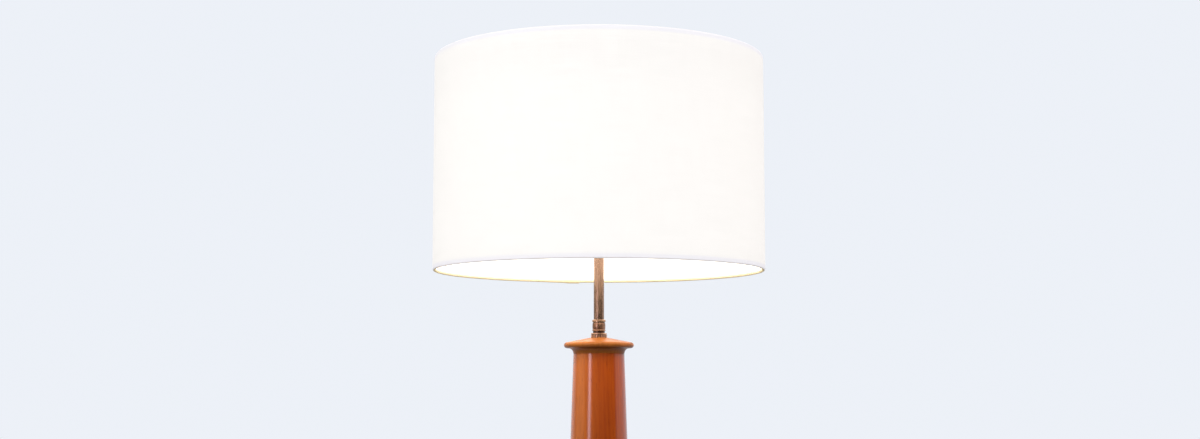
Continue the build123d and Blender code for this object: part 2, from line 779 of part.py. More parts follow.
with BuildPart() as bulb_insulator:
    with BuildSketch(Plane.XZ):
        with BuildLine():
            Polyline(
                (0, bulb_insulator_z),
                (bulb_contact_radius, bulb_insulator_z),
                (bulb_cap_radius - bulb_thread_depth, bulb_cap_z),
                (0, bulb_cap_z),
                close=True,
            )
        make_face()
    revolve(axis=Axis.Z)
pieces["bulb_insulator"] = bulb_insulator.part

with BuildPart() as bulb_contact:
    with BuildSketch(Plane.XY.offset(bulb_z)):
        Circle(bulb_contact_radius)
    extrude(amount=bulb_contact_height)
    chamfer(bulb_contact.faces().sort_by(Axis.Z)[0].edges(), bulb_contact_height / 2)
pieces["bulb_contact"] = bulb_contact.part

# ---------------------------------------------------------------- stud, spider and finial
with BuildPart() as harp_stud:
    with BuildSketch(Plane.XZ):
        with BuildLine():
            stud_head_top_z = harp_boss_z - stud_running_gap
            Polyline(
                (0, stud_head_top_z - stud_head_height),
                (stud_head_radius, stud_head_top_z - stud_head_height),
                (stud_head_radius, stud_head_top_z),
                (stud_shank_radius, stud_head_top_z),
                (stud_shank_radius, stud_flange_z),
                (stud_flange_radius, stud_flange_z),
                (stud_flange_radius, hub_z),
                (stud_post_radius, hub_z),
                (stud_post_radius, post_top_z),
                (0, post_top_z),
                close=True,
            )
        make_face()
    revolve(axis=Axis.Z)
pieces["harp_stud"] = harp_stud.part

with BuildPart() as spider_hub:
    with BuildSketch(Plane.XY.offset(hub_z)):
        Circle(hub_radius)
        Circle(stud_post_radius + hub_gap, mode=Mode.SUBTRACT)
    extrude(amount=hub_thickness)
pieces["spider_hub"] = spider_hub.part

with BuildPart() as spoke:
    with BuildLine(Plane.XZ) as spoke_line:
        FilletPolyline(
            (hub_radius - spoke_radius, hub_middle_z),
            (shade_wire_circle - spoke_rise_run, hub_middle_z),
            (shade_wire_circle, top_wire_z),
            radius=spoke_bend,
        )
    with BuildSketch(Plane.YZ.offset(hub_radius - spoke_radius)):
        with Locations((0, hub_middle_z)):
            Circle(spoke_radius)
    sweep(path=spoke_line.wires()[0])
    with BuildSketch(Plane.XY.offset(hub_z)):
        Circle(hub_radius)
    extrude(amount=hub_thickness, mode=Mode.SUBTRACT)
    with BuildSketch(Plane.XZ):
        with Locations((shade_wire_circle, top_wire_z)):
            Circle(shade_wire_radius)
    revolve(axis=Axis.Z, mode=Mode.SUBTRACT)
spoke_bearings = [90 + index * 360 / spoke_count for index in range(spoke_count)]
pieces["spider_spokes"] = Compound([Rot(0, 0, bearing) * spoke.part for bearing in spoke_bearings])

with BuildPart() as finial_washer:
    with BuildSketch(Plane.XY.offset(finial_washer_z)):
        Circle(finial_washer_radius)
        Circle(stud_post_radius + hub_gap, mode=Mode.SUBTRACT)
    extrude(amount=finial_washer_thickness)
    washer_edge = finial_washer.faces().sort_by(Axis.Z)[-1].edges().sort_by(SortBy.RADIUS)[-1]
    chamfer(washer_edge, finial_washer_thickness / 3)
pieces["finial_washer"] = finial_washer.part

finial_neck_z = finial_z + finial_base_height
finial_ball_z = finial_neck_z + finial_neck_height + sqrt(finial_ball_radius**2 - finial_neck_radius**2)
ball_start = -degrees(atan2(finial_ball_z - finial_neck_z - finial_neck_height, finial_neck_radius))
with BuildPart() as finial:
    with BuildSketch(Plane.XZ):
        with BuildLine():
            Polyline(
                (0, finial_ball_z + finial_ball_radius),
                (0, finial_z),
                (finial_base_radius, finial_z),
                (finial_base_radius, finial_neck_z),
                (finial_neck_radius, finial_neck_z + finial_neck_height / 2),
                (finial_neck_radius, finial_neck_z + finial_neck_height),
            )
            CenterArc((0, finial_ball_z), finial_ball_radius, ball_start, 90 - ball_start)
        make_face()
    revolve(axis=Axis.Z)
    with BuildSketch(Plane.XY.offset(finial_z)):
        Circle(stud_post_radius + finial_running_gap)
    extrude(amount=finial_bore_depth, mode=Mode.SUBTRACT)
pieces["finial"] = finial.part

# ---------------------------------------------------------------- drum shade
with BuildPart() as shade_linen:
    with BuildSketch(Plane.XY.offset(bottom_wire_z + linen_to_wire)):
        Circle(shade_radius)
        Circle(liner_radius, mode=Mode.SUBTRACT)
    extrude(amount=top_wire_z - bottom_wire_z - 2 * linen_to_wire)
pieces["shade_linen"] = shade_linen.part

with BuildPart() as shade_liner:
    with BuildSketch(Plane.XY.offset(bottom_wire_z + liner_to_wire)):
        Circle(liner_radius)
        Circle(liner_inner_face, mode=Mode.SUBTRACT)
    extrude(amount=top_wire_z - bottom_wire_z - 2 * liner_to_wire)
pieces["shade_liner"] = shade_liner.part

with BuildPart() as shade_seam:
    with BuildSketch(Plane.XY.offset(bottom_wire_z + hem_radius)):
        Circle(liner_inner_face)
        Circle(liner_inner_face - seam_thickness, mode=Mode.SUBTRACT)
        with Locations(Location((0, 0), seam_bearing)):
            with Locations((liner_inner_face, 0)):
                Rectangle(liner_inner_face, seam_width, mode=Mode.INTERSECT)
    extrude(amount=top_wire_z - bottom_wire_z - 2 * hem_radius)
pieces["shade_seam"] = shade_seam.part

for ring_name, wire_z in (("shade_top_ring", top_wire_z), ("shade_bottom_ring", bottom_wire_z)):
    with BuildPart() as shade_ring:
        with BuildSketch(Plane.XZ):
            with Locations((shade_wire_circle, wire_z)):
                Circle(shade_wire_radius)
        revolve(axis=Axis.Z)
    pieces[ring_name] = shade_ring.part

# The linen is rolled right round each wire. The upper hem is notched where the spokes come through it.
notch_arc = 2 * degrees(asin((spoke_radius + hem_notch_gap) / (shade_wire_circle - hem_radius)))
whole_turn = [(0, 360)]  # where a roll starts and how far it goes round
between_spokes = [(bearing + notch_arc / 2, 360 / spoke_count - notch_arc) for bearing in spoke_bearings]
for hem_name, wire_z, rolls in (
    ("shade_top_hem", top_wire_z, between_spokes),
    ("shade_bottom_hem", bottom_wire_z, whole_turn),
):
    with BuildPart() as hem:
        for bearing, arc in rolls:
            with BuildSketch(Plane.XZ.rotated((0, 0, bearing))):
                with Locations((shade_wire_circle, wire_z)):
                    Circle(hem_radius)
                    Circle(shade_wire_radius, mode=Mode.SUBTRACT)
            revolve(axis=Axis.Z, revolution_arc=arc)
    pieces[hem_name] = hem.part

# ---------------------------------------------------------------- one STEP file for each node
os.makedirs("parts", exist_ok=True)
for name, piece in pieces.items():
    piece.label = name
    export_step(piece, f"parts/{name}.step")
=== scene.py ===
"""Finishes, cloth and studio for the column table lamp.

The model gives the lamp's shapes, and this file gives them their surfaces. It adds what the model keeps
plain: the linen cover rolled round its wires, the felt, the screw threads and the welds. Metres, +Z up, and
-Y the front.
"""

import logging
import math
from collections.abc import Sequence
from dataclasses import dataclass, field
from enum import Enum

import bmesh
import bpy
import numpy as np
from mathutils import Matrix, Vector


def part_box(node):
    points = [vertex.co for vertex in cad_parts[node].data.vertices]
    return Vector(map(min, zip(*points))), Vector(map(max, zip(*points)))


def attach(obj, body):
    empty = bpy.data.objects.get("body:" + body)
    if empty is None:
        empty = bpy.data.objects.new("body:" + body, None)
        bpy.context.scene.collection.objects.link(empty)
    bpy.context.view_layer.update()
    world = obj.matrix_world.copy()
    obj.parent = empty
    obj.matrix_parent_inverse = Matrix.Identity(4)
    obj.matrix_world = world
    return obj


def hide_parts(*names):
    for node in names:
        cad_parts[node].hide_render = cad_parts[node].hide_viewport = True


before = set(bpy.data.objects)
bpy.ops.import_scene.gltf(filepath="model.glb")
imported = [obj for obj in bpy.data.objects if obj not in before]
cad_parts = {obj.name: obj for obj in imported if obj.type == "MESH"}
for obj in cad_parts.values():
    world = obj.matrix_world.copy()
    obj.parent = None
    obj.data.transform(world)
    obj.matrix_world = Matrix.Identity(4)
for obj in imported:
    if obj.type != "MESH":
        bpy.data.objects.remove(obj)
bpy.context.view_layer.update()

log = logging.getLogger("table_lamp")

MM = 0.001
MERGE_DISTANCE = 0.0001 * MM
BULB_THREAD_PITCH = 3.6 * MM
SPOKE_BEARINGS = (90, 210, 330)
Colour = tuple[float, float, float]


# ---------------------------------------------------------------- shader expressions
class Operation(Enum):
    """What a Math node works out."""

    ADD = "ADD"
    SUBTRACT = "SUBTRACT"
    MULTIPLY = "MULTIPLY"
    DIVIDE = "DIVIDE"
    POWER = "POWER"
    SIZE = "ABSOLUTE"
    ROOT = "SQRT"
    SINE = "SINE"
    FRACTION = "FRACT"
    SMALLER = "MINIMUM"
    LARGER = "MAXIMUM"
    BEARING = "ARCTAN2"


class Value:
    """A number that varies over a surface: one output of a node, with arithmetic that adds Math nodes."""

    def __init__(self, recipe: "Recipe", socket: bpy.types.NodeSocket) -> None:
        """Wraps a socket.

        Args:
            recipe: the node tree that new Math nodes go into.
            socket: the output that carries the number.
        """
        self.recipe = recipe
        self.socket = socket

    def maths(self, operation: Operation, *operands: "Value | float") -> "Value":
        """Adds one Math node.

        Args:
            operation: what it works out.
            operands: what goes into the node, in order.

        Returns:
            The node's result.
        """
        sources = dict(enumerate(operands))
        return self.recipe.value("ShaderNodeMath", {"operation": operation.value}, sources)

    def __add__(self, other: "Value | float") -> "Value":
        """This plus other."""
        return self.maths(Operation.ADD, self, other)

    def __radd__(self, other: float) -> "Value":
        """Other plus this."""
        return self.maths(Operation.ADD, other, self)

    def __sub__(self, other: "Value | float") -> "Value":
        """This minus other."""
        return self.maths(Operation.SUBTRACT, self, other)

    def __rsub__(self, other: float) -> "Value":
        """Other minus this."""
        return self.maths(Operation.SUBTRACT, other, self)

    def __mul__(self, other: "Value | float") -> "Value":
        """This times other."""
        return self.maths(Operation.MULTIPLY, self, other)

    def __rmul__(self, other: float) -> "Value":
        """Other times this."""
        return self.maths(Operation.MULTIPLY, other, self)

    def __truediv__(self, other: "Value | float") -> "Value":
        """This divided by other."""
        return self.maths(Operation.DIVIDE, self, other)

    def __pow__(self, other: "Value | float") -> "Value":
        """This to the power of other."""
        return self.maths(Operation.POWER, self, other)

    def __abs__(self) -> "Value":
        """This without its sign."""
        return self.maths(Operation.SIZE, self)

    def root(self) -> "Value":
        """The square root."""
        return self.maths(Operation.ROOT, self)

    def sine(self) -> "Value":
        """The sine of an angle in radians."""
        return self.maths(Operation.SINE, self)

    def fraction(self) -> "Value":
        """What is left after the whole number."""
        return self.maths(Operation.FRACTION, self)

    def at_most(self, other: "Value | float") -> "Value":
        """The smaller of the two."""
        return self.maths(Operation.SMALLER, self, other)

    def at_least(self, other: "Value | float") -> "Value":
        """The larger of the two."""
        return self.maths(Operation.LARGER, self, other)

    def rise(self, low: float, high: float) -> "Value":
        """A smooth step.

        Args:
            low: where the step starts, at 0.
            high: where it ends, at 1. A high under low makes the step fall.

        Returns:
            0 to 1, with soft ends.
        """
        settings = {"interpolation_type": "SMOOTHSTEP"}
        if high > low:
            return self.recipe.value("ShaderNodeMapRange", settings, {0: self, 1: low, 2: high})
        return 1 - self.recipe.value("ShaderNodeMapRange", settings, {0: self, 1: high, 2: low})


class Place(Enum):
    """What a pattern is laid out on."""

    OBJECT = "Object"
    CLOTH = "UV"


class Blend(Enum):
    """How two colours join."""

    MIX = "MIX"
    MULTIPLY = "MULTIPLY"


@dataclass(frozen=True)
class Grain:
    """A cloudy pattern, by how many clouds go into a metre along each axis.

    Detail is how many finer layers it has, and roughness how strong those are. The offset moves the pattern,
    so that two of them differ.
    """

    per_metre: tuple[float, float, float]
    detail: float = 2
    roughness: float = 0.5
    offset: tuple[float, float, float] = (0, 0, 0)

    @classmethod
    def even(cls, per_metre: float, detail: float = 2, roughness: float = 0.5) -> "Grain":
        """A pattern that is as dense in every direction."""
        return cls((per_metre, per_metre, per_metre), detail, roughness)


class Recipe:
    """The nodes of one finish, or of the world, added in the order in which they are asked for."""

    def __init__(self, tree: bpy.types.NodeTree) -> None:
        """Empties a node tree, to build it anew.

        Args:
            tree: the tree of a material or of the world.
        """
        self.tree = tree
        tree.nodes.clear()

    def node(self, kind: str, settings: dict | None = None, inputs: dict | None = None) -> bpy.types.Node:
        """Adds one node.

        Args:
            kind: the node's type.
            settings: its properties, set first.
            inputs: values or links by socket name or number.

        Returns:
            The node.
        """
        made = self.tree.nodes.new(kind)
        for name, setting in (settings or {}).items():
            setattr(made, name, setting)
        for name, source in (inputs or {}).items():
            source = source.socket if isinstance(source, Value) else source
            if isinstance(source, bpy.types.NodeSocket):
                self.tree.links.new(source, made.inputs[name])
            else:
                made.inputs[name].default_value = self._padded(source, made.inputs[name])
        return made

    @staticmethod
    def _padded(source: object, socket: bpy.types.NodeSocket) -> object:
        """Adds the fourth number that a colour socket asks for."""
        return (*source, 1) if socket.type == "RGBA" and len(source) == 3 else source

    def value(self, kind: str, settings: dict | None = None, inputs: dict | None = None) -> Value:
        """Adds one node, as node() does, and wraps its first output."""
        return Value(self, self.node(kind, settings, inputs).outputs[0])

    def spot(self, place: Place = Place.OBJECT) -> bpy.types.NodeSocket:
        """The coordinates of the point being shaded, in metres."""
        return self.node("ShaderNodeTexCoord").outputs[place.value]

    def axes(self, place: Place = Place.OBJECT) -> tuple[Value, Value, Value]:
        """The three coordinates, one by one."""
        parts = self.node("ShaderNodeSeparateXYZ", inputs={0: self.spot(place)})
        return tuple(Value(self, output) for output in parts.outputs)

    def noise(self, grain: Grain, place: Place = Place.OBJECT) -> Value:
        """Cloudy noise from 0 to 1.

        Args:
            grain: how fine it is, and where.
            place: what the pattern is laid out on.

        Returns:
            The noise.
        """
        layout = {"Vector": self.spot(place), "Scale": grain.per_metre, "Location": grain.offset}
        scaled = self.node("ShaderNodeMapping", inputs=layout).outputs[0]
        inputs = {"Vector": scaled, "Scale": 1, "Detail": grain.detail, "Roughness": grain.roughness}
        return self.value("ShaderNodeTexNoise", inputs=inputs)

    def mix(
        self, factor: Value | float, first: object, second: object, blend: Blend = Blend.MIX
    ) -> bpy.types.NodeSocket:
        """A colour between two.

        Args:
            factor: 0 for the first, 1 for the second.
            first: a colour or a colour socket.
            second: a colour or a colour socket.
            blend: how they join.

        Returns:
            The colour's socket.
        """
        factor_input, first_input, second_input, colour_output = 0, 6, 7, 2
        settings = {"data_type": "RGBA", "blend_type": blend.value}
        inputs = {factor_input: factor, first_input: first, second_input: second}
        return self.node("ShaderNodeMix", settings, inputs).outputs[colour_output]

    def dimmed(self, colour: Colour, level: Value) -> bpy.types.NodeSocket:
        """A colour times a level."""
        return self.mix(1.0, colour, self.grey(level), Blend.MULTIPLY)

    def grey(self, level: Value) -> bpy.types.NodeSocket:
        """A colour whose three parts are the same number."""
        return self.node("ShaderNodeCombineColor", inputs={0: level, 1: level, 2: level}).outputs[0]

    def bump(self, height: Value, depth: float, strength: float = 1.0) -> bpy.types.NodeSocket:
        """A relief.

        Args:
            height: the relief, from 0 to 1.
            depth: how deep it is, in metres.
            strength: how much of it shows.

        Returns:
            The normal's socket.
        """
        inputs = {"Height": height, "Distance": depth, "Strength": strength}
        return self.node("ShaderNodeBump", inputs=inputs).outputs[0]

    def finish(self, inputs: dict) -> None:
        """Ends a material with a Principled shader that has these inputs."""
        shader = self.node("ShaderNodeBsdfPrincipled", inputs=inputs)
        self.node("ShaderNodeOutputMaterial", inputs={"Surface": shader.outputs[0]})


# ---------------------------------------------------------------- finishes
@dataclass(frozen=True)
class Finish:
    """A surface finish. Each kind says how it looks in lay()."""

    name: str
    slot: str

    def material(self) -> bpy.types.Material:
        """The Blender material, made when it is first asked for.

        Returns:
            The material.
        """
        made = bpy.data.materials.get(self.name)
        if made is None:
            made = bpy.data.materials.new(self.name)
            made.use_nodes = True
            self.lay(Recipe(made.node_tree))
        return made

    def lay(self, recipe: Recipe) -> None:
        """Adds the finish's nodes.

        Args:
            recipe: the material's nodes.
        """
        raise NotImplementedError


@dataclass(frozen=True)
class LacqueredWood(Finish):
    """Turned hardwood under satin lacquer.

    Growth rings stand round a pith off the lamp's axis. Fibre streaks and pores run along Z. The left side,
    towards -X, is painted lighter, as if lit from the left. The depths say how much each of these darkens
    the wood.
    """

    pale: Colour = (0.42, 0.070, 0.001)
    deep: Colour = (0.25, 0.029, 0.0005)
    # Painted light: the colour of the left side, as if lit from the left.
    left_lit_wood: Colour = (0.54, 0.132, 0.012)
    pore: Colour = (0.10, 0.012, 0.001)
    roughness: float = 0.34
    lacquer: float = 1.0
    lacquer_roughness: float = 0.18
    pith: tuple[float, float] = (85 * MM, 60 * MM)
    ring_pitch: float = 4.2 * MM
    ring_wander: float = 9 * MM
    # Painted light: where the lighter left side begins, and how far its edge wanders.
    left_lit_side: tuple[float, float] = (4 * MM, -26 * MM)
    left_lit_wander: float = 12 * MM
    relief: float = 0.05 * MM
    ring_depth: float = 0.18
    fibre_depth: float = 0.24
    streak_depth: float = 0.22
    cloud_depth: float = 0.30
    pore_depth: float = 0.55
    drift: Grain = Grain((9, 9, 1.6), detail=3)
    fibres: Grain = Grain((620, 620, 26), detail=3, roughness=0.62)
    streaks: Grain = Grain((130, 130, 2.2), offset=(3, 1, 7))
    clouds: Grain = Grain((20, 20, 5), offset=(5, 2, 1))
    pores: Grain = Grain((1500, 1500, 42), detail=1, offset=(1, 8, 2))
    film: Grain = Grain((420, 420, 420), offset=(2, 2, 9))

    def lay(self, recipe: Recipe) -> None:
        """Rings are the distance from the pith, bent by slow noise, and cut into repeats of their pitch.

        Args:
            recipe: the material's nodes.
        """
        x, y, _ = recipe.axes()
        drift = recipe.noise(self.drift)
        from_pith = ((x - self.pith[0]) ** 2 + (y - self.pith[1]) ** 2).root() + drift * self.ring_wander
        ring = (from_pith / self.ring_pitch).fraction()
        late_wood = ring.rise(0.15, 0.8) * ring.rise(1.0, 0.88)
        fibre = recipe.noise(self.fibres)
        streak = recipe.noise(self.streaks).rise(0.3, 0.7)
        cloud = recipe.noise(self.clouds).rise(0.3, 0.7)
        pore = recipe.noise(self.pores).rise(0.66, 0.76)
        depth = late_wood * self.ring_depth + fibre.rise(0.35, 0.72) * self.fibre_depth
        depth = depth + streak * self.streak_depth + cloud * self.cloud_depth
        heart = recipe.mix(depth.at_most(1.0), self.pale, self.deep)
        # Painted light: the left side, towards -X, is painted lighter as if lit from the left, less so in
        # dark streaks.
        side = (x + (drift - 0.5) * self.left_lit_wander).rise(*self.left_lit_side)
        wood = recipe.mix(side * (1 - depth * 0.5), heart, self.left_lit_wood)
        surface = fibre * 0.35 + recipe.noise(self.film) * 0.65 - pore * 0.5
        recipe.finish(
            {
                "Base Color": recipe.mix(pore * self.pore_depth, wood, self.pore),
                "Roughness": fibre.rise(0.2, 0.8) * 0.16 + self.roughness,
                "Specular IOR Level": 0.04,
                "Coat Weight": self.lacquer,
                "Coat Roughness": self.lacquer_roughness,
                "Coat IOR": 1.48,
                "Normal": recipe.bump(surface, self.relief, 0.22),
            }
        )


@dataclass(frozen=True)
class AgedBrass(Finish):
    """Darkened brass on the lamp's axis: dark in the hollows and rubbed bright on the crests.

    Hollow and crest are each a band of distance from the axis, over which grime fades out or wear sets in.
    """

    dark: Colour = (0.175, 0.095, 0.055)
    warm: Colour = (0.42, 0.245, 0.135)
    rubbed: Colour = (0.60, 0.40, 0.24)
    grime: Colour = (0.045, 0.022, 0.012)
    hollow: tuple[float, float] = (7.25 * MM, 7.55 * MM)
    crest: tuple[float, float] = (7.95 * MM, 8.2 * MM)
    roughness: float = 0.2
    band_wander: float = 0.35 * MM
    relief: float = 0.03 * MM
    bands: Grain = Grain.even(260, detail=3)
    patina: Grain = Grain((210, 210, 60), detail=3)
    wipes: Grain = Grain((900, 900, 60), offset=(4, 4, 1))

    def lay(self, recipe: Recipe) -> None:
        """The bands are broken up by noise, and patina and wiping marks mix the body's two colours.

        Args:
            recipe: the material's nodes.
        """
        x, y, _ = recipe.axes()
        out = (x**2 + y**2).root() + (recipe.noise(self.bands) - 0.5) * self.band_wander
        patina = recipe.noise(self.patina)
        wipes = recipe.noise(self.wipes)
        body = recipe.mix((patina * 0.65 + wipes * 0.35).rise(0.28, 0.74), self.dark, self.warm)
        worn = recipe.mix(out.rise(*self.crest) * 0.8, body, self.rubbed)
        recipe.finish(
            {
                "Base Color": recipe.mix(out.rise(*reversed(self.hollow)) * 0.85, worn, self.grime),
                "Metallic": 0.8,
                "Coat Weight": 0.15,
                "Coat Roughness": 0.2,
                "Roughness": patina.rise(0.3, 0.7) * 0.16 + self.roughness,
                "Normal": recipe.bump(wipes, self.relief, 0.12),
            }
        )


@dataclass(frozen=True)
class SatinMetal(Finish):
    """Plain metal with drawing lines and a little cloudiness."""

    colour: Colour = (0.7, 0.7, 0.7)
    tarnish: Colour = (0.4, 0.4, 0.4)
    roughness: float = 0.3
    relief: float = 0.02 * MM
    lines: Grain = Grain((1400, 1400, 50))
    clouds: Grain = Grain.even(75, detail=4, roughness=0.6)

    def lay(self, recipe: Recipe) -> None:
        """Cloudy tarnish over the metal, and fine lines in its relief.

        Args:
            recipe: the material's nodes.
        """
        cloud = recipe.noise(self.clouds)
        drawn = recipe.noise(self.lines)
        recipe.finish(
            {
                "Base Color": recipe.mix(cloud.rise(0.38, 0.72) * 0.75, self.colour, self.tarnish),
                "Metallic": 1.0,
                "Roughness": cloud.rise(0.3, 0.7) * 0.14 + drawn * 0.08 + self.roughness - 0.08,
                "Normal": recipe.bump(drawn, self.relief, 0.3),
            }
        )


@dataclass(frozen=True)
class Painted(Finish):
    """Paint or powder over metal, with orange peel or a sand-cast grain, and dust in the low spots."""

    colour: Colour = (0.8, 0.8, 0.8)
    low: Colour = (0.7, 0.7, 0.7)
    grain: float = 900
    relief: float = 0.04 * MM
    roughness: float = 0.4

    def lay(self, recipe: Recipe) -> None:
        """One grain drives relief, colour and gloss.

        Args:
            recipe: the material's nodes.
        """
        peel = recipe.noise(Grain.even(self.grain, detail=3, roughness=0.55))
        cloud = recipe.noise(Grain.even(self.grain / 12))
        height = (peel * 0.5 + cloud * 0.5).rise(0.35, 0.65)
        recipe.finish(
            {
                "Base Color": recipe.mix(height, self.low, self.colour),
                "Roughness": peel * 0.15 + self.roughness - 0.07,
                "Normal": recipe.bump(peel, self.relief, 0.5),
            }
        )


@dataclass(frozen=True)
class Moulded(Finish):
    """Moulded or pressed insulation: an even colour with faint mottling and a skin from the mould."""

    colour: Colour = (0.03, 0.03, 0.03)
    mottle: Colour = (0.06, 0.05, 0.04)
    roughness: float = 0.25
    spots: float = 320
    relief: float = 0.02 * MM

    def lay(self, recipe: Recipe) -> None:
        """Mottling from two sizes of cloud.

        Args:
            recipe: the material's nodes.
        """
        coarse = recipe.noise(Grain.even(self.spots, detail=3, roughness=0.65))
        fine = recipe.noise(Grain((self.spots * 6,) * 3, detail=1, offset=(7, 3, 5)))
        mottling = (coarse * 0.7 + fine * 0.3).rise(0.42, 0.68)
        recipe.finish(
            {
                "Base Color": recipe.mix(mottling, self.colour, self.mottle),
                "Roughness": fine * 0.12 + self.roughness - 0.06,
                "Normal": recipe.bump(fine, self.relief, 0.3),
            }
        )


@dataclass(frozen=True)
class Linen(Finish):
    """Lit linen: a plain weave with slubs, which glows where the bulb shines through and less in the hems.

    The cloth's own map gives metres along the cloth and metres across it, from the turned-in edge of the
    upper hem. The cloth is cloth_width across, and each hem takes up hem_turn of that. Distances from a hem
    are counted from where the wall begins, downwards or back into the roll. The top_shade is how much of the
    glow is left just below the upper hem.
    """

    hem_turn: float
    cloth_width: float
    thread: Colour = (0.81, 0.805, 0.80)
    shadow: Colour = (0.71, 0.705, 0.70)
    # Painted light: the turned-in cloth is tinted yellow, as if lit by the warm lamp inside.
    lamp_lit_inner_thread: Colour = (0.62, 0.53, 0.38)
    glow: Colour = (1.0, 0.95, 0.885)
    # Painted reflection: the outer hem glows lavender for the cool room reflected in it; its lower level is
    # the lamp's light held back by the doubled cloth.
    hem_glow_and_room_reflection: Colour = (0.78, 0.75, 0.82)
    inner_glow: Colour = (0.50, 0.40, 0.19)
    glow_strength: float = 0.50
    thread_pitch: float = 0.62 * MM
    relief: float = 0.16 * MM
    doubled_hem: tuple[float, float] = (4.5 * MM, 2.6 * MM)
    turned_in_hem: tuple[float, float] = (-1.2 * MM, -3.4 * MM)
    top_shade: float = 0.94
    top_shade_reach: tuple[float, float] = (15 * MM, 85 * MM)
    weft_slubs: Grain = Grain((16, 1150, 1), detail=3, roughness=0.6)
    warp_slubs: Grain = Grain((1150, 16, 1), detail=3, roughness=0.6, offset=(3, 5, 0))
    clouds: Grain = Grain((7, 9, 1))

    def lay(self, recipe: Recipe) -> None:
        """Threads go over and under by the product of two sines, and slubs are noise drawn out along them.

        Args:
            recipe: the material's nodes.
        """
        along, down, _ = recipe.axes(Place.CLOTH)
        turn = math.pi / self.thread_pitch
        warp, weft = (along * turn).sine(), (down * turn).sine()
        over = (warp * weft) * 0.5 + 0.5
        weave = abs(warp) * over + abs(weft) * (1 - over)
        weft_slub = recipe.noise(self.weft_slubs, Place.CLOTH)
        warp_slub = recipe.noise(self.warp_slubs, Place.CLOTH)
        slub = (weft_slub * 0.6 + warp_slub * 0.4).rise(0.36, 0.64)
        cloud = recipe.noise(self.clouds, Place.CLOTH)
        from_top = down - self.hem_turn
        from_hem = down.at_most(self.cloth_width - down) - self.hem_turn
        doubled = from_hem.rise(*self.doubled_hem)
        turned_in = from_hem.rise(*self.turned_in_hem)
        thin = 1 - slub * 0.07 - cloud * 0.03
        thin = thin * (from_top.rise(*self.top_shade_reach) * (1 - self.top_shade) + self.top_shade)
        # The hems' emission: painted reflection of the cool room on the outer side, and the lamp's glow on
        # the turned-in side.
        hem = recipe.mix(turned_in, self.hem_glow_and_room_reflection, self.inner_glow)
        cloth = recipe.mix(slub * 0.6 + (1 - weave) * 0.25, self.thread, self.shadow)
        recipe.finish(
            {
                # Painted light: the turned-in cloth's colour is tinted yellow, as if lit by the lamp.
                "Base Color": recipe.mix(turned_in, cloth, self.lamp_lit_inner_thread),
                "Roughness": 0.9,
                "Specular IOR Level": 0.15,
                "Sheen Weight": 0.12,
                "Sheen Roughness": 0.5,
                "Emission Color": recipe.mix(doubled, recipe.dimmed(self.glow, thin), hem),
                "Emission Strength": self.glow_strength,
                "Normal": recipe.bump(weave * 0.6 + slub * 0.4, self.relief, 0.35),
            }
        )


@dataclass(frozen=True)
class LitSheet(Finish):
    """The clear backing sheet of the shade, white with light and brightest level with the bulb's globe."""

    colour: Colour = (0.88, 0.87, 0.84)
    fibre: Colour = (0.80, 0.785, 0.75)
    glow: Colour = (1.0, 0.965, 0.90)
    glow_strength: float = 1.8
    bulb_height: float = 0.0
    reach: float = 0.16
    dimming: float = 0.22
    relief: float = 0.03 * MM
    fibres: Grain = Grain((90, 90, 700), detail=3, roughness=0.6)

    def lay(self, recipe: Recipe) -> None:
        """The glow falls with the square of the distance in height from the bulb.

        Args:
            recipe: the material's nodes.
        """
        _, _, z = recipe.axes()
        away = (abs(z - self.bulb_height) / self.reach).at_most(1.0)
        fibres = recipe.noise(self.fibres)
        light = (1 - away**2 * self.dimming) * (0.97 + fibres * 0.05)
        recipe.finish(
            {
                "Base Color": recipe.mix(fibres, self.colour, self.fibre),
                "Roughness": 0.45,
                "Emission Color": recipe.dimmed(self.glow, light),
                "Emission Strength": self.glow_strength,
                "Normal": recipe.bump(fibres, self.relief, 0.2),
            }
        )


@dataclass(frozen=True)
class OpalGlass(Finish):
    """Opal glass of a lit bulb: brightest in the globe, dimmer and warmer down the neck.

    The foot is the glass's lower end, and the neck widens into the globe between two heights above it.
    """

    colour: Colour = (0.92, 0.91, 0.88)
    coating: Colour = (0.86, 0.84, 0.79)
    glow: Colour = (1.0, 0.93, 0.80)
    neck_glow: Colour = (0.62, 0.42, 0.22)
    glow_strength: float = 4.5
    foot: float = 0.0
    neck: tuple[float, float] = (8 * MM, 38 * MM)
    clouds: Grain = Grain.even(70, detail=3)

    def lay(self, recipe: Recipe) -> None:
        """Height up the bulb mixes the two glows, and faint clouds show the coating inside.

        Args:
            recipe: the material's nodes.
        """
        _, _, z = recipe.axes()
        coating = recipe.noise(self.clouds) * 0.4
        recipe.finish(
            {
                "Base Color": recipe.mix(coating, self.colour, self.coating),
                "Roughness": 0.12,
                "Emission Color": recipe.mix((z - self.foot).rise(*self.neck), self.neck_glow, self.glow),
                "Emission Strength": self.glow_strength,
            }
        )


@dataclass(frozen=True)
class Felt(Finish):
    """Pressed wool felt: matted fibres at two sizes, with a soft nap."""

    colour: Colour = (0.028, 0.026, 0.024)
    fleck: Colour = (0.085, 0.08, 0.072)
    relief: float = 0.25 * MM
    fibres_along_x: Grain = Grain((350, 2600, 2600), detail=3, roughness=0.7)
    fibres_along_y: Grain = Grain((2600, 350, 2600), detail=3, roughness=0.7, offset=(5, 1, 3))

    def lay(self, recipe: Recipe) -> None:
        """Fibres are noise drawn out along X and along Y, and the larger wins.

        Args:
            recipe: the material's nodes.
        """
        fibres = recipe.noise(self.fibres_along_x).at_least(recipe.noise(self.fibres_along_y))
        recipe.finish(
            {
                "Base Color": recipe.mix(fibres.rise(0.5, 0.75), self.colour, self.fleck),
                "Roughness": 0.95,
                "Specular IOR Level": 0.1,
                "Sheen Weight": 0.35,
                "Sheen Roughness": 0.6,
                "Normal": recipe.bump(fibres, self.relief, 0.8),
            }
        )


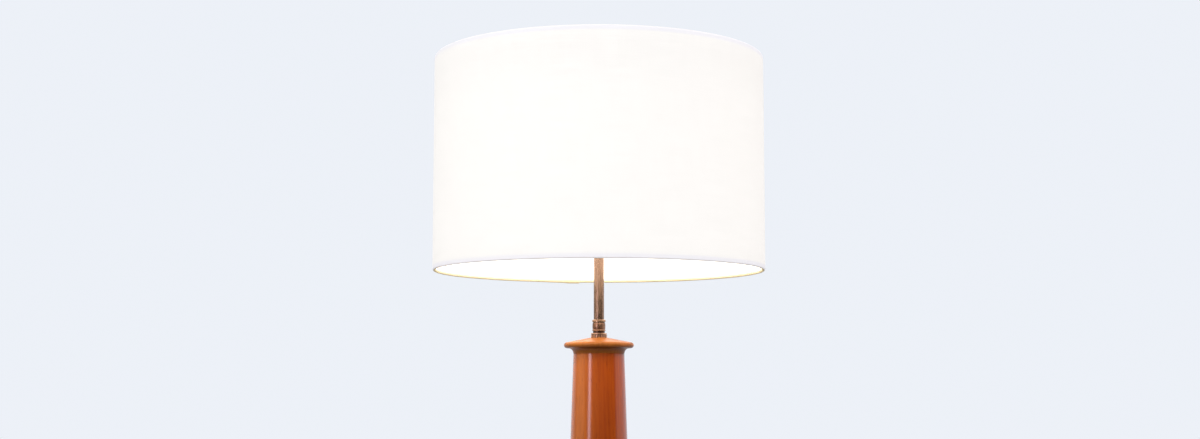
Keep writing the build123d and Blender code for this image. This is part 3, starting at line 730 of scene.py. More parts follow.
@dataclass(frozen=True)
class StudioFloor(Finish):
    """Pale matt paper that fades out with distance. From below it is clear, so that the foot can be seen.

    Light that comes off a matt surface meets the darker bounce colour.
    """

    colour: Colour = (0.80, 0.83, 0.88)
    tooth: Colour = (0.74, 0.77, 0.82)
    bounce: Colour = (0.06, 0.06, 0.06)
    solid_radius: float = 0.2
    faded_radius: float = 1.0
    grain: Grain = Grain.even(300)

    def lay(self, recipe: Recipe) -> None:
        """Clear where the distance from the lamp is large, and on the back.

        Args:
            recipe: the material's nodes.
        """
        x, y, _ = recipe.axes()
        fade = (x**2 + y**2).root().rise(self.solid_radius, self.faded_radius)
        seen = recipe.mix(recipe.noise(self.grain) * 0.1, self.colour, self.tooth)
        bounced = recipe.node("ShaderNodeLightPath").outputs["Is Diffuse Ray"]
        colour = recipe.mix(bounced, seen, self.bounce)
        paper = recipe.node("ShaderNodeBsdfDiffuse", inputs={"Color": colour}).outputs[0]
        clear = recipe.node("ShaderNodeBsdfTransparent").outputs[0]
        underside = recipe.node("ShaderNodeNewGeometry").outputs["Backfacing"]
        missing = (fade + Value(recipe, underside)).at_most(1.0)
        mixed = recipe.node("ShaderNodeMixShader", inputs={0: missing, 1: paper, 2: clear})
        recipe.node("ShaderNodeOutputMaterial", inputs={"Surface": mixed.outputs[0]})


WOOD = LacqueredWood("lacquered_hardwood", "wood")
CAP_WOOD = LacqueredWood(
    "lacquered_hardwood_cap",
    "wood",
    pale=(0.335, 0.105, 0.017),
    deep=(0.205, 0.052, 0.006),
    # Painted light: the colour of the cap's left side, as if lit from the left.
    left_lit_wood=(0.40, 0.125, 0.02),
    lacquer=0.28,
    lacquer_roughness=0.24,
)
TUBE_BRASS = AgedBrass(
    "aged_brass_drawn",
    "aged_brass",
    dark=(0.175, 0.098, 0.066),
    warm=(0.27, 0.16, 0.105),
    hollow=(0.0, 1.0 * MM),
)
COLLAR_BRASS = AgedBrass(
    "aged_brass_turned",
    "aged_brass",
    dark=(0.13, 0.062, 0.037),
    warm=(0.33, 0.17, 0.10),
    rubbed=(0.46, 0.27, 0.16),
)
RING_BRASS = AgedBrass(
    "aged_brass_knurled",
    "aged_brass",
    dark=(0.10, 0.038, 0.022),
    warm=(0.26, 0.105, 0.06),
    rubbed=(0.62, 0.36, 0.22),
    hollow=(8.9 * MM, 9.35 * MM),
    crest=(9.4 * MM, 9.8 * MM),
    roughness=0.3,
)
FINIAL_BRASS = AgedBrass(
    "aged_brass_finial",
    "aged_brass",
    hollow=(4.4 * MM, 5.0 * MM),
    crest=(7.6 * MM, 8.4 * MM),
)
HARP_BRASS = SatinMetal(
    "harp_brass_satin",
    "harp_brass",
    colour=(0.70, 0.50, 0.24),
    tarnish=(0.48, 0.31, 0.14),
    roughness=0.28,
    lines=Grain((1200, 1200, 90)),
)
HOLDER_BRASS = SatinMetal(
    "holder_brass_drawn",
    "holder_brass",
    colour=(0.78, 0.57, 0.27),
    tarnish=(0.56, 0.37, 0.16),
    roughness=0.22,
)
ZINC = SatinMetal(
    "zinc_plate",
    "zinc_steel",
    colour=(0.62, 0.61, 0.58),
    tarnish=(0.42, 0.42, 0.40),
    roughness=0.35,
)
SWITCH_STEEL = SatinMetal(
    "switch_steel_turned",
    "switch_steel",
    colour=(0.60, 0.60, 0.60),
    tarnish=(0.42, 0.42, 0.42),
    roughness=0.28,
)
BRIGHT_ALLOY = SatinMetal(
    "bright_alloy_pressed",
    "bright_alloy",
    colour=(0.80, 0.79, 0.76),
    tarnish=(0.60, 0.59, 0.56),
    roughness=0.22,
)
SOLDER = SatinMetal(
    "solder_tip",
    "solder",
    colour=(0.66, 0.66, 0.67),
    tarnish=(0.40, 0.40, 0.41),
    roughness=0.38,
    lines=Grain.even(500),
)
IRON = Painted(
    "cast_iron_black",
    "iron",
    colour=(0.045, 0.045, 0.047),
    low=(0.02, 0.02, 0.02),
    grain=700,
    relief=0.25 * MM,
    roughness=0.6,
)
WHITE_WIRE = Painted(
    "white_powder_coat",
    "white_wire",
    colour=(0.66, 0.645, 0.62),
    low=(0.57, 0.555, 0.53),
    grain=1300,
)
PHENOLIC = Moulded(
    "phenolic_black",
    "phenolic",
    colour=(0.018, 0.014, 0.012),
    mottle=(0.05, 0.032, 0.022),
    roughness=0.2,
)
FIBRE = Moulded(
    "pressed_fibre",
    "fibre",
    colour=(0.40, 0.27, 0.15),
    mottle=(0.55, 0.40, 0.24),
    roughness=0.7,
    spots=450,
)
BLACK_PLASTIC = Moulded(
    "bushing_plastic",
    "black_plastic",
    colour=(0.02, 0.02, 0.02),
    mottle=(0.04, 0.04, 0.04),
    roughness=0.42,
)
BLACK_GLASS = Moulded(
    "black_glass_insulator",
    "black_glass",
    colour=(0.008, 0.008, 0.010),
    mottle=(0.02, 0.018, 0.03),
    roughness=0.1,
)
# The globe's middle lies as far under the bulb's top as the globe is wide from its axis.
GLASS_LOW, GLASS_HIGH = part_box("bulb_glass")
STYRENE = LitSheet("backing_sheet_lit", "styrene", bulb_height=GLASS_HIGH[2] - GLASS_HIGH[0])
OPAL = OpalGlass("opal_glass_lit", "opal_glass", foot=GLASS_LOW[2])
FELT = Felt("black_felt", "felt")
FLOOR = StudioFloor("studio_floor", "")


# ---------------------------------------------------------------- surfaces
def quads(rows: int, columns: int, closed_rows: bool = False, closed_columns: bool = False) -> np.ndarray:
    """Four-cornered faces of a grid of points that is stored row by row.

    Args:
        rows: how many rows of points there are.
        columns: how many points each row has.
        closed_rows: whether the last row joins the first.
        closed_columns: whether the last column joins the first.

    Returns:
        Point numbers, four to a face, turning left when columns run to the right and rows upwards.
    """
    row, column = np.meshgrid(
        np.arange(rows if closed_rows else rows - 1),
        np.arange(columns if closed_columns else columns - 1),
        indexing="ij",
    )
    next_row, next_column = (row + 1) % rows, (column + 1) % columns
    corners = [row * columns + column, row * columns + next_column, next_row * columns + next_column]
    return np.stack([*corners, next_row * columns + column], axis=-1).reshape(-1, 4)


def turned(profile: np.ndarray, count: int) -> np.ndarray:
    """Points of a profile turned about the lamp's axis.

    A point at (radius, height) goes to (radius cos t, radius sin t, height), for count angles t round the
    circle.

    Args:
        profile: points of (radius, height).
        count: how many points go round.

    Returns:
        Points in rows, one row for each point of the profile.
    """
    angle = np.arange(count) * (2 * math.pi / count)
    radius, height = profile[:, 0, None], profile[:, 1, None]
    grid = np.stack(np.broadcast_arrays(radius * np.cos(angle), radius * np.sin(angle), height), axis=-1)
    return grid.reshape(-1, 3)


@dataclass(frozen=True)
class Thread:
    """A screw thread on the lamp's axis. It fades out over lead_out below its high and above its low end."""

    pitch: float
    depth: float
    low: float
    high: float
    lead_out: float

    def cut(self, profile: np.ndarray, count: int) -> np.ndarray:
        """Points of a turned profile with the thread cut into it.

        The radius at angle t and height z drops by depth times (1 - cos(z / pitch - t, in turns)) / 2, which
        is a groove that climbs one pitch a turn.

        Args:
            profile: points of (radius, height).
            count: how many points go round.

        Returns:
            Points in rows, as turned() gives them.
        """
        points = turned(profile, count)
        angle = np.arctan2(points[:, 1], points[:, 0])
        height = points[:, 2]
        fade = np.clip(np.minimum(height - self.low, self.high - height) / self.lead_out, 0, 1)
        groove = self.depth * fade * (1 - np.cos(2 * math.pi * height / self.pitch - angle)) / 2
        radius = np.hypot(points[:, 0], points[:, 1])
        points[:, :2] *= ((radius - groove) / np.maximum(radius, MERGE_DISTANCE))[:, None]
        return points


@dataclass(frozen=True)
class Corner:
    """A corner of an outline, and the radius of its rounding."""

    across: float
    up: float
    radius: float = 0.0

    @property
    def point(self) -> np.ndarray:
        """The corner without its rounding."""
        return np.array([self.across, self.up])

    def arc(self, before: np.ndarray, after: np.ndarray, steps: int) -> np.ndarray:
        """The arc that rounds the corner.

        It touches both sides at radius / tan(half the angle between them) from the corner. A point on it is
        the mean of those two touching points, each weighted by the sine of its angle from the other.

        Args:
            before: the outline's last corner before this one.
            after: its next corner.
            steps: how many pieces the arc has.

        Returns:
            The arc's points, ends included.
        """
        corner = self.point
        to_before = before - corner
        to_after = after - corner
        to_before /= np.linalg.norm(to_before)
        to_after /= np.linalg.norm(to_after)
        half = math.acos(float(np.clip(to_before @ to_after, -1, 1))) / 2
        middle = to_before + to_after
        centre = corner + middle / np.linalg.norm(middle) * self.radius / math.sin(half)
        start = corner + to_before * self.radius / math.tan(half) - centre
        end = corner + to_after * self.radius / math.tan(half) - centre
        share = np.linspace(0, 1, steps + 1)[:, None]
        angle = math.pi - 2 * half
        return centre + (np.sin((1 - share) * angle) * start + np.sin(share * angle) * end) / math.sin(angle)


def rounded(corners: Sequence[Corner], steps: int = 5) -> np.ndarray:
    """An outline through corners, each rounded by its own arc.

    Args:
        corners: the corners, ends included.
        steps: how many pieces each arc has.

    Returns:
        The outline's points.
    """
    outline = [corners[0].point]
    for before, here, after in zip(corners, corners[1:], corners[2:]):
        if here.radius == 0:
            outline.append(here.point)
        else:
            outline.extend(here.arc(before.point, after.point, steps))
    outline.append(corners[-1].point)
    return np.array(outline)


def bead(centre: Sequence[float], axes: np.ndarray, rows: int, columns: int) -> np.ndarray:
    """Points of an egg-shaped bead of weld.

    A point of the unit ball, at a latitude and a longitude, is carried along three axes of their own
    lengths.

    Args:
        centre: the middle.
        axes: three rows, each the direction and half length of an axis.
        rows: points from pole to pole.
        columns: points round.

    Returns:
        Points in rows, with both poles repeated.
    """
    latitude = np.linspace(-math.pi / 2, math.pi / 2, rows)[:, None]
    longitude = np.arange(columns) * (2 * math.pi / columns)
    ball = np.broadcast_arrays(
        np.cos(latitude) * np.cos(longitude), np.cos(latitude) * np.sin(longitude), np.sin(latitude)
    )
    return np.stack(ball, axis=-1).reshape(-1, 3) @ axes + np.array(centre)


def smooth(share: np.ndarray) -> np.ndarray:
    """A smooth step, 3s^2 - 2s^3, with s held between 0 and 1."""
    held = np.clip(share, 0, 1)
    return held * held * (3 - 2 * held)


def piece(
    name: str,
    points: np.ndarray,
    faces: np.ndarray,
    finish: Finish,
    uv: np.ndarray | None = None,
    sharp: float = 35,
) -> bpy.types.Object:
    """Makes one object from points and faces.

    Points that fall together are merged, which closes poles. A closed skin has its faces turned outwards.

    Args:
        name: the piece's name.
        points: its points.
        faces: point numbers, four to a face.
        finish: its finish.
        uv: a sheet's own map, one pair for each point. A piece with a map is open, and isn't turned.
        sharp: the angle in degrees past which an edge stays sharp.

    Returns:
        The object.
    """
    mesh = bpy.data.meshes.new(name)
    mesh.vertices.add(len(points))
    mesh.vertices.foreach_set("co", np.ascontiguousarray(points, dtype=np.float32).ravel())
    mesh.loops.add(faces.size)
    mesh.loops.foreach_set("vertex_index", faces.astype(np.int32).ravel())
    mesh.polygons.add(len(faces))
    mesh.polygons.foreach_set("loop_start", np.arange(0, faces.size, 4, dtype=np.int32))
    mesh.update(calc_edges=True)
    if uv is not None:
        mesh.uv_layers.new(name="cloth").data.foreach_set("uv", uv[faces].astype(np.float32).ravel())
    work = bmesh.new()
    work.from_mesh(mesh)
    bmesh.ops.remove_doubles(work, verts=work.verts, dist=MERGE_DISTANCE)
    if uv is None:
        bmesh.ops.recalc_face_normals(work, faces=work.faces)
    work.to_mesh(mesh)
    work.free()
    mesh.shade_smooth()
    mesh.set_sharp_from_angle(angle=math.radians(sharp))
    mesh.materials.append(finish.material())
    made = bpy.data.objects.new(name, mesh)
    bpy.context.scene.collection.objects.link(made)
    log.info("%s: %s", name, finish.name)
    return made


@dataclass(frozen=True)
class Ring:
    """A ring of wire, as the model has it."""

    circle: float
    wire: float
    height: float

    @classmethod
    def of(cls, node: str) -> "Ring":
        """The ring that a node's box holds: its wire is as thick as the box is high.

        Args:
            node: the ring's name in the model.

        Returns:
            The ring.
        """
        low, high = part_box(node)
        wire = (high[2] - low[2]) / 2
        return cls((high[1] - low[1]) / 2 - wire, wire, (high[2] + low[2]) / 2)


# ---------------------------------------------------------------- sub-assemblies
@dataclass
class SubAssembly:
    """Some of the lamp's pieces. Model nodes are dressed by finish, and new pieces are built by add()."""

    finishes: dict[str, Finish] = field(default_factory=dict)

    def dress(self) -> None:
        """Gives each of the model's nodes its finish."""
        for node, finish in self.finishes.items():
            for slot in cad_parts[node].material_slots:
                slot.material = finish.material()
            log.info("%s: %s", node, finish.name)

    def add(self) -> None:
        """Builds the new pieces, if there are any."""

    def build(self) -> None:
        """Dresses the model's nodes and adds the new pieces."""
        self.dress()
        self.add()


@dataclass
class Foot(SubAssembly):
    """The foot, its weight and fixings, and the felt under it."""

    finishes: dict[str, Finish] = field(
        default_factory=lambda: {
            "foot": WOOD,
            "base_weight": IRON,
            "weight_screws": ZINC,
            "pipe_washer": ZINC,
            "pipe_nut": ZINC,
            "lamp_pipe": ZINC,
            "cord_bushing": BLACK_PLASTIC,
        }
    )
    felt_round: float = 0.7 * MM
    felt_edge_waver: float = 0.12 * MM
    felt_waves: tuple[tuple[float, float, float], ...] = ((7, 1.0, 0), (19, 0.7, 1), (43, 0.5, 2))
    felt_rings: tuple[float, ...] = (0.0, 0.5, 0.9)
    felt_columns: int = 180

    def add(self) -> None:
        """A disc of felt with a soft, slightly uneven edge.

        The edge draws in by a sum of sines, each with its waves round the disc, its size and its phase. The
        eighth power of the distance from the axis keeps that to the edge.
        """
        _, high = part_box("felt_pad")
        radius, top = high[0], high[2]
        rings = [radius * share for share in self.felt_rings]
        outline = rounded(
            [
                *[Corner(ring, 0.0) for ring in rings],
                Corner(radius, 0.0, self.felt_round),
                Corner(radius, top, self.felt_round),
                *[Corner(ring, top) for ring in reversed(rings)],
            ]
        )
        points = turned(outline, self.felt_columns)
        angle = np.arctan2(points[:, 1], points[:, 0])
        waver = sum(size * (np.sin(waves * angle + phase) - 1) for waves, size, phase in self.felt_waves)
        reach = np.hypot(points[:, 0], points[:, 1]) / radius
        points[:, :2] *= (1 + waver * self.felt_edge_waver / radius * reach**8)[:, None]
        faces = quads(len(outline), self.felt_columns, closed_columns=True)
        felt = piece("felt_disc", points, faces, FELT)
        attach(felt, "lamp")
        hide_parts("felt_pad")


@dataclass
class Column(SubAssembly):
    """The turned column and its cap."""

    finishes: dict[str, Finish] = field(default_factory=lambda: {"column": WOOD, "column_cap": CAP_WOOD})


@dataclass
class Neck(SubAssembly):
    """Lock ring, collar and tube between the cap and the harp's saddle."""

    finishes: dict[str, Finish] = field(
        default_factory=lambda: {
            "lock_ring": RING_BRASS,
            "neck_collar": COLLAR_BRASS,
            "neck_tube": TUBE_BRASS,
            "neck_cap": TUBE_BRASS,
        }
    )


@dataclass
class HarpSet(SubAssembly):
    """The saddle, the harp and its sleeves."""

    finishes: dict[str, Finish] = field(
        default_factory=lambda: {
            "harp_saddle": HARP_BRASS,
            "harp": HARP_BRASS,
            "left_harp_sleeve": HARP_BRASS,
            "right_harp_sleeve": HARP_BRASS,
        }
    )


@dataclass
class LampHolder(SubAssembly):
    """The holder from cap to screw shell, and its turn switch."""

    finishes: dict[str, Finish] = field(
        default_factory=lambda: {
            "holder_cap": HOLDER_BRASS,
            "set_screw": ZINC,
            "holder_shell": HOLDER_BRASS,
            "holder_liner": FIBRE,
            "holder_body": PHENOLIC,
            "terminal_screws": ZINC,
            "centre_contact": HOLDER_BRASS,
            "switch_shaft": SWITCH_STEEL,
            "switch_knob": PHENOLIC,
        }
    )
    pitch: float = BULB_THREAD_PITCH
    thread_depth: float = 0.5 * MM
    wall: float = 0.35 * MM
    columns: int = 72
    rows: int = 90

    def add(self) -> None:
        """The screw shell: a thin cup wall whose thread presses it in, inside and outside alike."""
        low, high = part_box("screw_shell")
        radius = high[0]
        up = np.linspace(low[2], high[2], self.rows)
        outside = np.column_stack([np.full(self.rows, radius), up])
        inside = np.column_stack([np.full(self.rows, radius - self.wall), up[::-1]])
        outline = np.concatenate([outside, inside])
        thread = Thread(self.pitch, self.thread_depth, low[2], high[2], lead_out=self.pitch / 2)
        faces = quads(len(outline), self.columns, closed_rows=True, closed_columns=True)
        shell = piece("threaded_shell", thread.cut(outline, self.columns), faces, BRIGHT_ALLOY)
        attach(shell, "lamp")
        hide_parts("screw_shell")


@dataclass
class Bulb(SubAssembly):
    """The bulb: glass, insulator and contact from the model, and a screw cap with its real thread."""

    finishes: dict[str, Finish] = field(
        default_factory=lambda: {
            "bulb_glass": OPAL,
            "bulb_insulator": BLACK_GLASS,
            "bulb_contact": SOLDER,
        }
    )
    pitch: float = BULB_THREAD_PITCH
    thread_depth: float = 0.8 * MM
    wall: float = 0.4 * MM
    plain_foot: float = 1.6 * MM
    plain_top: float = 3.4 * MM
    shoulder_height: float = 1.0 * MM
    shoulder_round: float = 0.5 * MM
    neck_radius: float = 12.4 * MM
    columns: int = 84
    rows: int = 80

    def add(self) -> None:
        """The cap: a tube with a helical thread, drawn in to the glass at its top, with a wall all round."""
        low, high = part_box("bulb_screw_cap")
        crest = high[0]
        foot, top = low[2], high[2]
        root = crest - self.thread_depth
        inner = root - self.wall
        thread = Thread(
            self.pitch, self.thread_depth, foot + self.plain_foot, top - self.plain_top, lead_out=self.pitch
        )
        lip = [(root, foot), (root, foot + self.wall)]
        up = np.linspace(thread.low, thread.high, self.rows)
        threaded = np.column_stack([np.full(self.rows, crest), up])
        shoulder = rounded(
            [
                Corner(crest, thread.high),
                Corner(crest, top - self.shoulder_height, self.shoulder_round),
                Corner(self.neck_radius + self.wall, top, self.shoulder_round),
                Corner(self.neck_radius, top),
            ]
        )
        bore = [(self.neck_radius, top - self.wall), (inner, top - self.wall), (inner, foot)]
        outline = np.concatenate([lip, threaded, shoulder[1:], bore])
        faces = quads(len(outline), self.columns, closed_rows=True, closed_columns=True)
        cap = piece("bulb_threaded_cap", thread.cut(outline, self.columns), faces, BRIGHT_ALLOY)
        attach(cap, "bulb")
        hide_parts("bulb_screw_cap")


@dataclass
class Spider(SubAssembly):
    """What carries the shade on the harp: stud, hub and spokes, and the finial that clamps them.

    A weld's three sizes are its half lengths along its spoke, across it and upwards.
    """

    finishes: dict[str, Finish] = field(
        default_factory=lambda: {
            "spider_hub": WHITE_WIRE,
            "spider_spokes": WHITE_WIRE,
            "finial_washer": FINIAL_BRASS,
            "finial": FINIAL_BRASS,
        }
    )
    pitch: float = 0.94 * MM
    thread_depth: float = 0.45 * MM
    post_radius: float = 3.1 * MM
    post_rows: int = 110
    shank_radius: float = 2.4 * MM
    head_radius: float = 4.2 * MM
    head_height: float = 1.6 * MM
    flange_thickness: float = 1.5 * MM
    columns: int = 48
    hub_weld: tuple[float, float, float] = (2.6 * MM, 2.3 * MM, 0.9 * MM)
    ring_weld: tuple[float, float, float] = (1.5 * MM, 2.6 * MM, 1.3 * MM)
    weld_rows: int = 9
    weld_columns: int = 14

    def add(self) -> None:
        """The stud with its thread, and the welds of the spokes."""
        self.add_stud()
        self.add_welds()

    def add_stud(self) -> None:
        """A turned stud: riveted head, shank through the harp, flange, and a post with a helical thread."""
        low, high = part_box("harp_stud")
        flange_radius = high[0]
        flange_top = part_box("spider_hub")[0][2]
        flange_foot = flange_top - self.flange_thickness
        head_top = low[2] + self.head_height
        bevel = self.pitch / 2
        washer_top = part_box("finial_washer")[1][2]
        thread = Thread(self.pitch, self.thread_depth, washer_top - self.pitch, high[2], lead_out=self.pitch)
        body = rounded(
            [
                Corner(0.0, low[2]),
                Corner(self.head_radius, low[2], self.head_height / 2),
                Corner(self.head_radius, head_top),
                Corner(self.shank_radius, head_top),
                Corner(self.shank_radius, flange_foot),
                Corner(flange_radius, flange_foot, bevel / 2),
                Corner(flange_radius, flange_top, bevel / 2),
                Corner(self.post_radius, flange_top),
                Corner(self.post_radius, thread.low),
            ]
        )
        up = np.linspace(thread.low, thread.high - bevel, self.post_rows)[1:]
        post = np.column_stack([np.full(len(up), self.post_radius), up])
        end = [(self.post_radius - bevel, thread.high), (0.0, thread.high)]
        outline = np.concatenate([body, post, end])
        faces = quads(len(outline), self.columns, closed_columns=True)
        stud = piece("threaded_stud", thread.cut(outline, self.columns), faces, FINIAL_BRASS, sharp=50)
        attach(stud, "shade")
        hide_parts("harp_stud")

    def add_welds(self) -> None:
        """A flattened bead where each spoke leaves the hub, and one where it meets the ring."""
        _, hub_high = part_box("spider_hub")
        ring = Ring.of("shade_top_ring")
        hub_radius, hub_top = hub_high[0], hub_high[2]
        spots = [
            ((hub_radius - self.hub_weld[0] / 3, 0, hub_top - self.hub_weld[2] / 3), self.hub_weld),
            ((ring.circle - ring.wire, 0, ring.height - ring.wire / 2), self.ring_weld),
        ]
        beads = []
        for bearing in SPOKE_BEARINGS:
            turn = np.array(Matrix.Rotation(math.radians(bearing), 3, "Z").transposed())
            for spot, size in spots:
                centre = np.array(spot) @ turn
                beads.append(bead(centre, np.diag(size) @ turn, self.weld_rows, self.weld_columns))
        faces = quads(self.weld_rows, self.weld_columns, closed_columns=True)
        all_faces = np.concatenate([faces + index * len(points) for index, points in enumerate(beads)])
        welds = piece("spoke_welds", np.concatenate(beads), all_faces, WHITE_WIRE)
        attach(welds, "shade")


@dataclass(frozen=True)
class Section:
    """The cover's section, point by point.

    It says which way the outer face looks, outwards and up, where it is, as a radius and a height, and how
    far along the cloth that is.
    """

    outwards: np.ndarray
    upwards: np.ndarray
    radius: np.ndarray
    height: np.ndarray
    length: np.ndarray


@dataclass
class DrumShade(SubAssembly):
    """The drum shade: rings, backing sheet and the rolled linen cover.

    A hem goes round its wire by the angle wrap, and the spokes' slits run from its turned-in edge back to
    the angle slit_from. The lap is how far the cloth goes past its own beginning.
    """

    finishes: dict[str, Finish] = field(
        default_factory=lambda: {
            "shade_top_ring": WHITE_WIRE,
            "shade_bottom_ring": WHITE_WIRE,
            "shade_liner": STYRENE,
            "shade_seam": STYRENE,
        }
    )
    cloth: float = 0.45 * MM
    wrap: float = math.radians(290)
    lap: float = 14 * MM
    lap_bearing: float = math.radians(101.6)
    lap_lift: float = 0.55 * MM
    lift_length: float = 9 * MM
    slack: float = 0.6 * MM
    slack_length: float = 45 * MM
    hem_waver: float = 0.05 * MM
    hem_waves: tuple[int, int] = (11, 4)
    slit_half_width: float = 1.9 * MM
    slit_from: float = math.radians(145)
    columns: int = 540
    lap_columns: int = 12
    roll_rows: int = 22
    wall_rows: int = 12

    def add(self) -> None:
        """The cover, in one sheet from the turned-in edge of the upper hem to that of the lower one."""
        top, bottom = Ring.of("shade_top_ring"), Ring.of("shade_bottom_ring")
        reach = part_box("shade_linen")[1][0]
        roll = reach - top.circle
        section = self.section(top, bottom, roll)
        hem_turn, cloth_width = float(section.length[self.roll_rows - 1]), float(section.length[-1])
        linen = Linen("lit_linen", "linen", hem_turn, cloth_width)
        along = self.columns_along(reach)
        points = self.points(section, along, reach)
        uv = np.stack(np.broadcast_arrays(along[None, :], section.length[:, None]), axis=-1).reshape(-1, 2)
        slit_end = (self.wrap - self.slit_from) * roll
        faces = self.slit(quads(len(section.radius), len(along)), section.length < slit_end, along, reach)
        cover = piece("linen_cover", points, faces, linen, uv=uv, sharp=60)
        thickness = cover.modifiers.new("cloth thickness", "SOLIDIFY")
        thickness.thickness = self.cloth
        thickness.offset = -1
        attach(cover, "shade")
        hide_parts("shade_linen", "shade_top_hem", "shade_bottom_hem")

    def section(self, top: Ring, bottom: Ring, roll: float) -> Section:
        """The cover from the upper turned-in edge over the wire, down the wall and round the lower wire.

        Round a wire a point is at circle + roll cos a, height + roll sin a, and down the wall a stays at
        nothing.

        Args:
            top: the upper ring.
            bottom: the lower ring.
            roll: the radius of a hem's outer face round its wire.

        Returns:
            The section.
        """
        angle = np.concatenate(
            [
                np.linspace(self.wrap, 0, self.roll_rows),
                np.zeros(self.wall_rows),
                np.linspace(0, -self.wrap, self.roll_rows),
            ]
        )
        centre = np.concatenate(
            [
                np.full(self.roll_rows, top.height),
                np.linspace(top.height, bottom.height, self.wall_rows + 2)[1:-1],
                np.full(self.roll_rows, bottom.height),
            ]
        )
        radius = top.circle + roll * np.cos(angle)
        height = centre + roll * np.sin(angle)
        step = np.hypot(np.diff(radius), np.diff(height))
        return Section(np.cos(angle), np.sin(angle), radius, height, np.concatenate([[0], np.cumsum(step)]))

    def points(self, section: Section, along: np.ndarray, reach: float) -> np.ndarray:
        """The cover's points.

        Towards its end the cloth lifts by a smooth step, to lap over its own beginning, and the underside of
        the lower hem hangs slack. The face wavers by the product of two sines of the bearing.

        Args:
            section: the cover's section.
            along: where the columns stand along the cloth.
            reach: the shade's radius.

        Returns:
            Points in rows, one row for each point of the section.
        """
        bearing = self.lap_bearing - along / reach
        past_lap = along - 2 * math.pi * reach
        lift = self.lap_lift * smooth((past_lap + self.lift_length) / self.lift_length)
        first, second = self.hem_waves
        lift = lift + self.hem_waver * np.sin(first * bearing) * np.sin(second * bearing + 1)
        slack = self.slack * smooth((past_lap + self.slack_length) / self.slack_length)
        lower_half = section.height < (section.height.max() + section.height.min()) / 2
        underside = np.clip(-section.upwards, 0, 1) ** 2 * lower_half
        out = section.radius[:, None] + section.outwards[:, None] * lift
        up = section.height[:, None] + section.upwards[:, None] * lift - underside[:, None] * slack
        return np.stack([out * np.cos(bearing), out * np.sin(bearing), up], axis=-1).reshape(-1, 3)

    def columns_along(self, reach: float) -> np.ndarray:
        """Where the cover's columns stand along the cloth.

        They stand evenly, closer where the lap lifts, and on both edges of each slit.

        Args:
            reach: the shade's radius.

        Returns:
            Distances from the cloth's beginning, in order.
        """
        around = 2 * math.pi * reach
        even = np.linspace(0, around + self.lap, self.columns)
        close = np.linspace(around - self.lift_length, around, self.lap_columns)
        spokes = (self.lap_bearing - np.radians(SPOKE_BEARINGS)) % (2 * math.pi) * reach
        fixed = np.concatenate([spokes - self.slit_half_width, spokes + self.slit_half_width, close])
        clear = np.min(np.abs(even[:, None] - fixed[None, :]), axis=1) > self.slit_half_width / 4
        clear[[0, -1]] = True
        return np.sort(np.concatenate([even[clear], fixed]))

    def slit(self, faces: np.ndarray, inner: np.ndarray, along: np.ndarray, reach: float) -> np.ndarray:
        """Leaves out the faces where a spoke goes through the inner half of the upper hem.

        Args:
            faces: the cover's faces.
            inner: which rows are in that half.
            along: where the columns stand along the cloth.
            reach: the shade's radius.

        Returns:
            The faces that stay.
        """
        row, column = faces[:, 0] // len(along), faces[:, 0] % len(along)
        bearing = self.lap_bearing - along / reach
        middle = (bearing[column] + bearing[column + 1]) / 2
        slit = np.zeros(len(faces), dtype=bool)
        for spoke in SPOKE_BEARINGS:
            away = (middle - math.radians(spoke) + math.pi) % (2 * math.pi) - math.pi
            slit |= np.abs(away) * reach < self.slit_half_width
        return faces[~(slit & inner[row])]


# ---------------------------------------------------------------- studio
class Lights(Enum):
    """What a soft box is there for."""

    REFLECTIONS = "reflections"
    MATT_SURFACES = "matt surfaces"


@dataclass(frozen=True)
class SoftBox:
    """A soft light that faces the lamp's axis, at a bearing in degrees from the front, towards the right."""

    name: str
    bearing: float
    distance: float
    height: float
    width: float
    tall: float
    radiance: float
    colour: Colour
    lights: Lights

    def place(self) -> None:
        """Adds the light. Its power is radiance times pi times its area."""
        lamp = bpy.data.lights.new(self.name, "AREA")
        lamp.shape = "RECTANGLE"
        lamp.size, lamp.size_y = self.width, self.tall
        lamp.color = self.colour
        lamp.energy = self.radiance * math.pi * self.width * self.tall
        holder = bpy.data.objects.new(self.name, lamp)
        angle = math.radians(self.bearing)
        holder.location = (self.distance * math.sin(angle), -self.distance * math.cos(angle), self.height)
        to_axis = Vector((0, 0, self.height)) - holder.location
        holder.rotation_euler = to_axis.to_track_quat("-Z", "Y").to_euler()
        holder.visible_camera = False
        holder.visible_glossy = self.lights is Lights.REFLECTIONS
        holder.visible_diffuse = self.lights is Lights.MATT_SURFACES
        bpy.context.scene.collection.objects.link(holder)
        log.info("light %s", self.name)


STREAK_BOX = SoftBox(
    "streak_box",
    bearing=-40,
    distance=1.7,
    height=1.05,
    width=0.30,
    tall=1.3,
    radiance=8.0,
    colour=(0.88, 0.82, 1.0),
    lights=Lights.REFLECTIONS,
)
LEFT_BOX = SoftBox(
    "left_box",
    bearing=-84,
    distance=1.9,
    height=1.1,
    width=1.5,
    tall=1.5,
    radiance=0.9,
    colour=(1.0, 0.86, 0.66),
    lights=Lights.REFLECTIONS,
)
LEFT_FILL = SoftBox(
    "left_fill",
    bearing=-70,
    distance=2.0,
    height=1.1,
    width=1.3,
    tall=1.5,
    radiance=0.85,
    colour=(1.0, 0.97, 0.94),
    lights=Lights.MATT_SURFACES,
)
FRONT_FILL = SoftBox(
    "front_fill",
    bearing=6,
    distance=2.6,
    height=1.4,
    width=2.4,
    tall=1.8,
    radiance=1.0,
    colour=(0.97, 0.98, 1.0),
    lights=Lights.MATT_SURFACES,
)
RIGHT_FILL = SoftBox(
    "right_fill",
    bearing=100,
    distance=1.9,
    height=1.1,
    width=1.6,
    tall=1.5,
    radiance=0.55,
    colour=(1.0, 0.82, 0.78),
    lights=Lights.MATT_SURFACES,
)


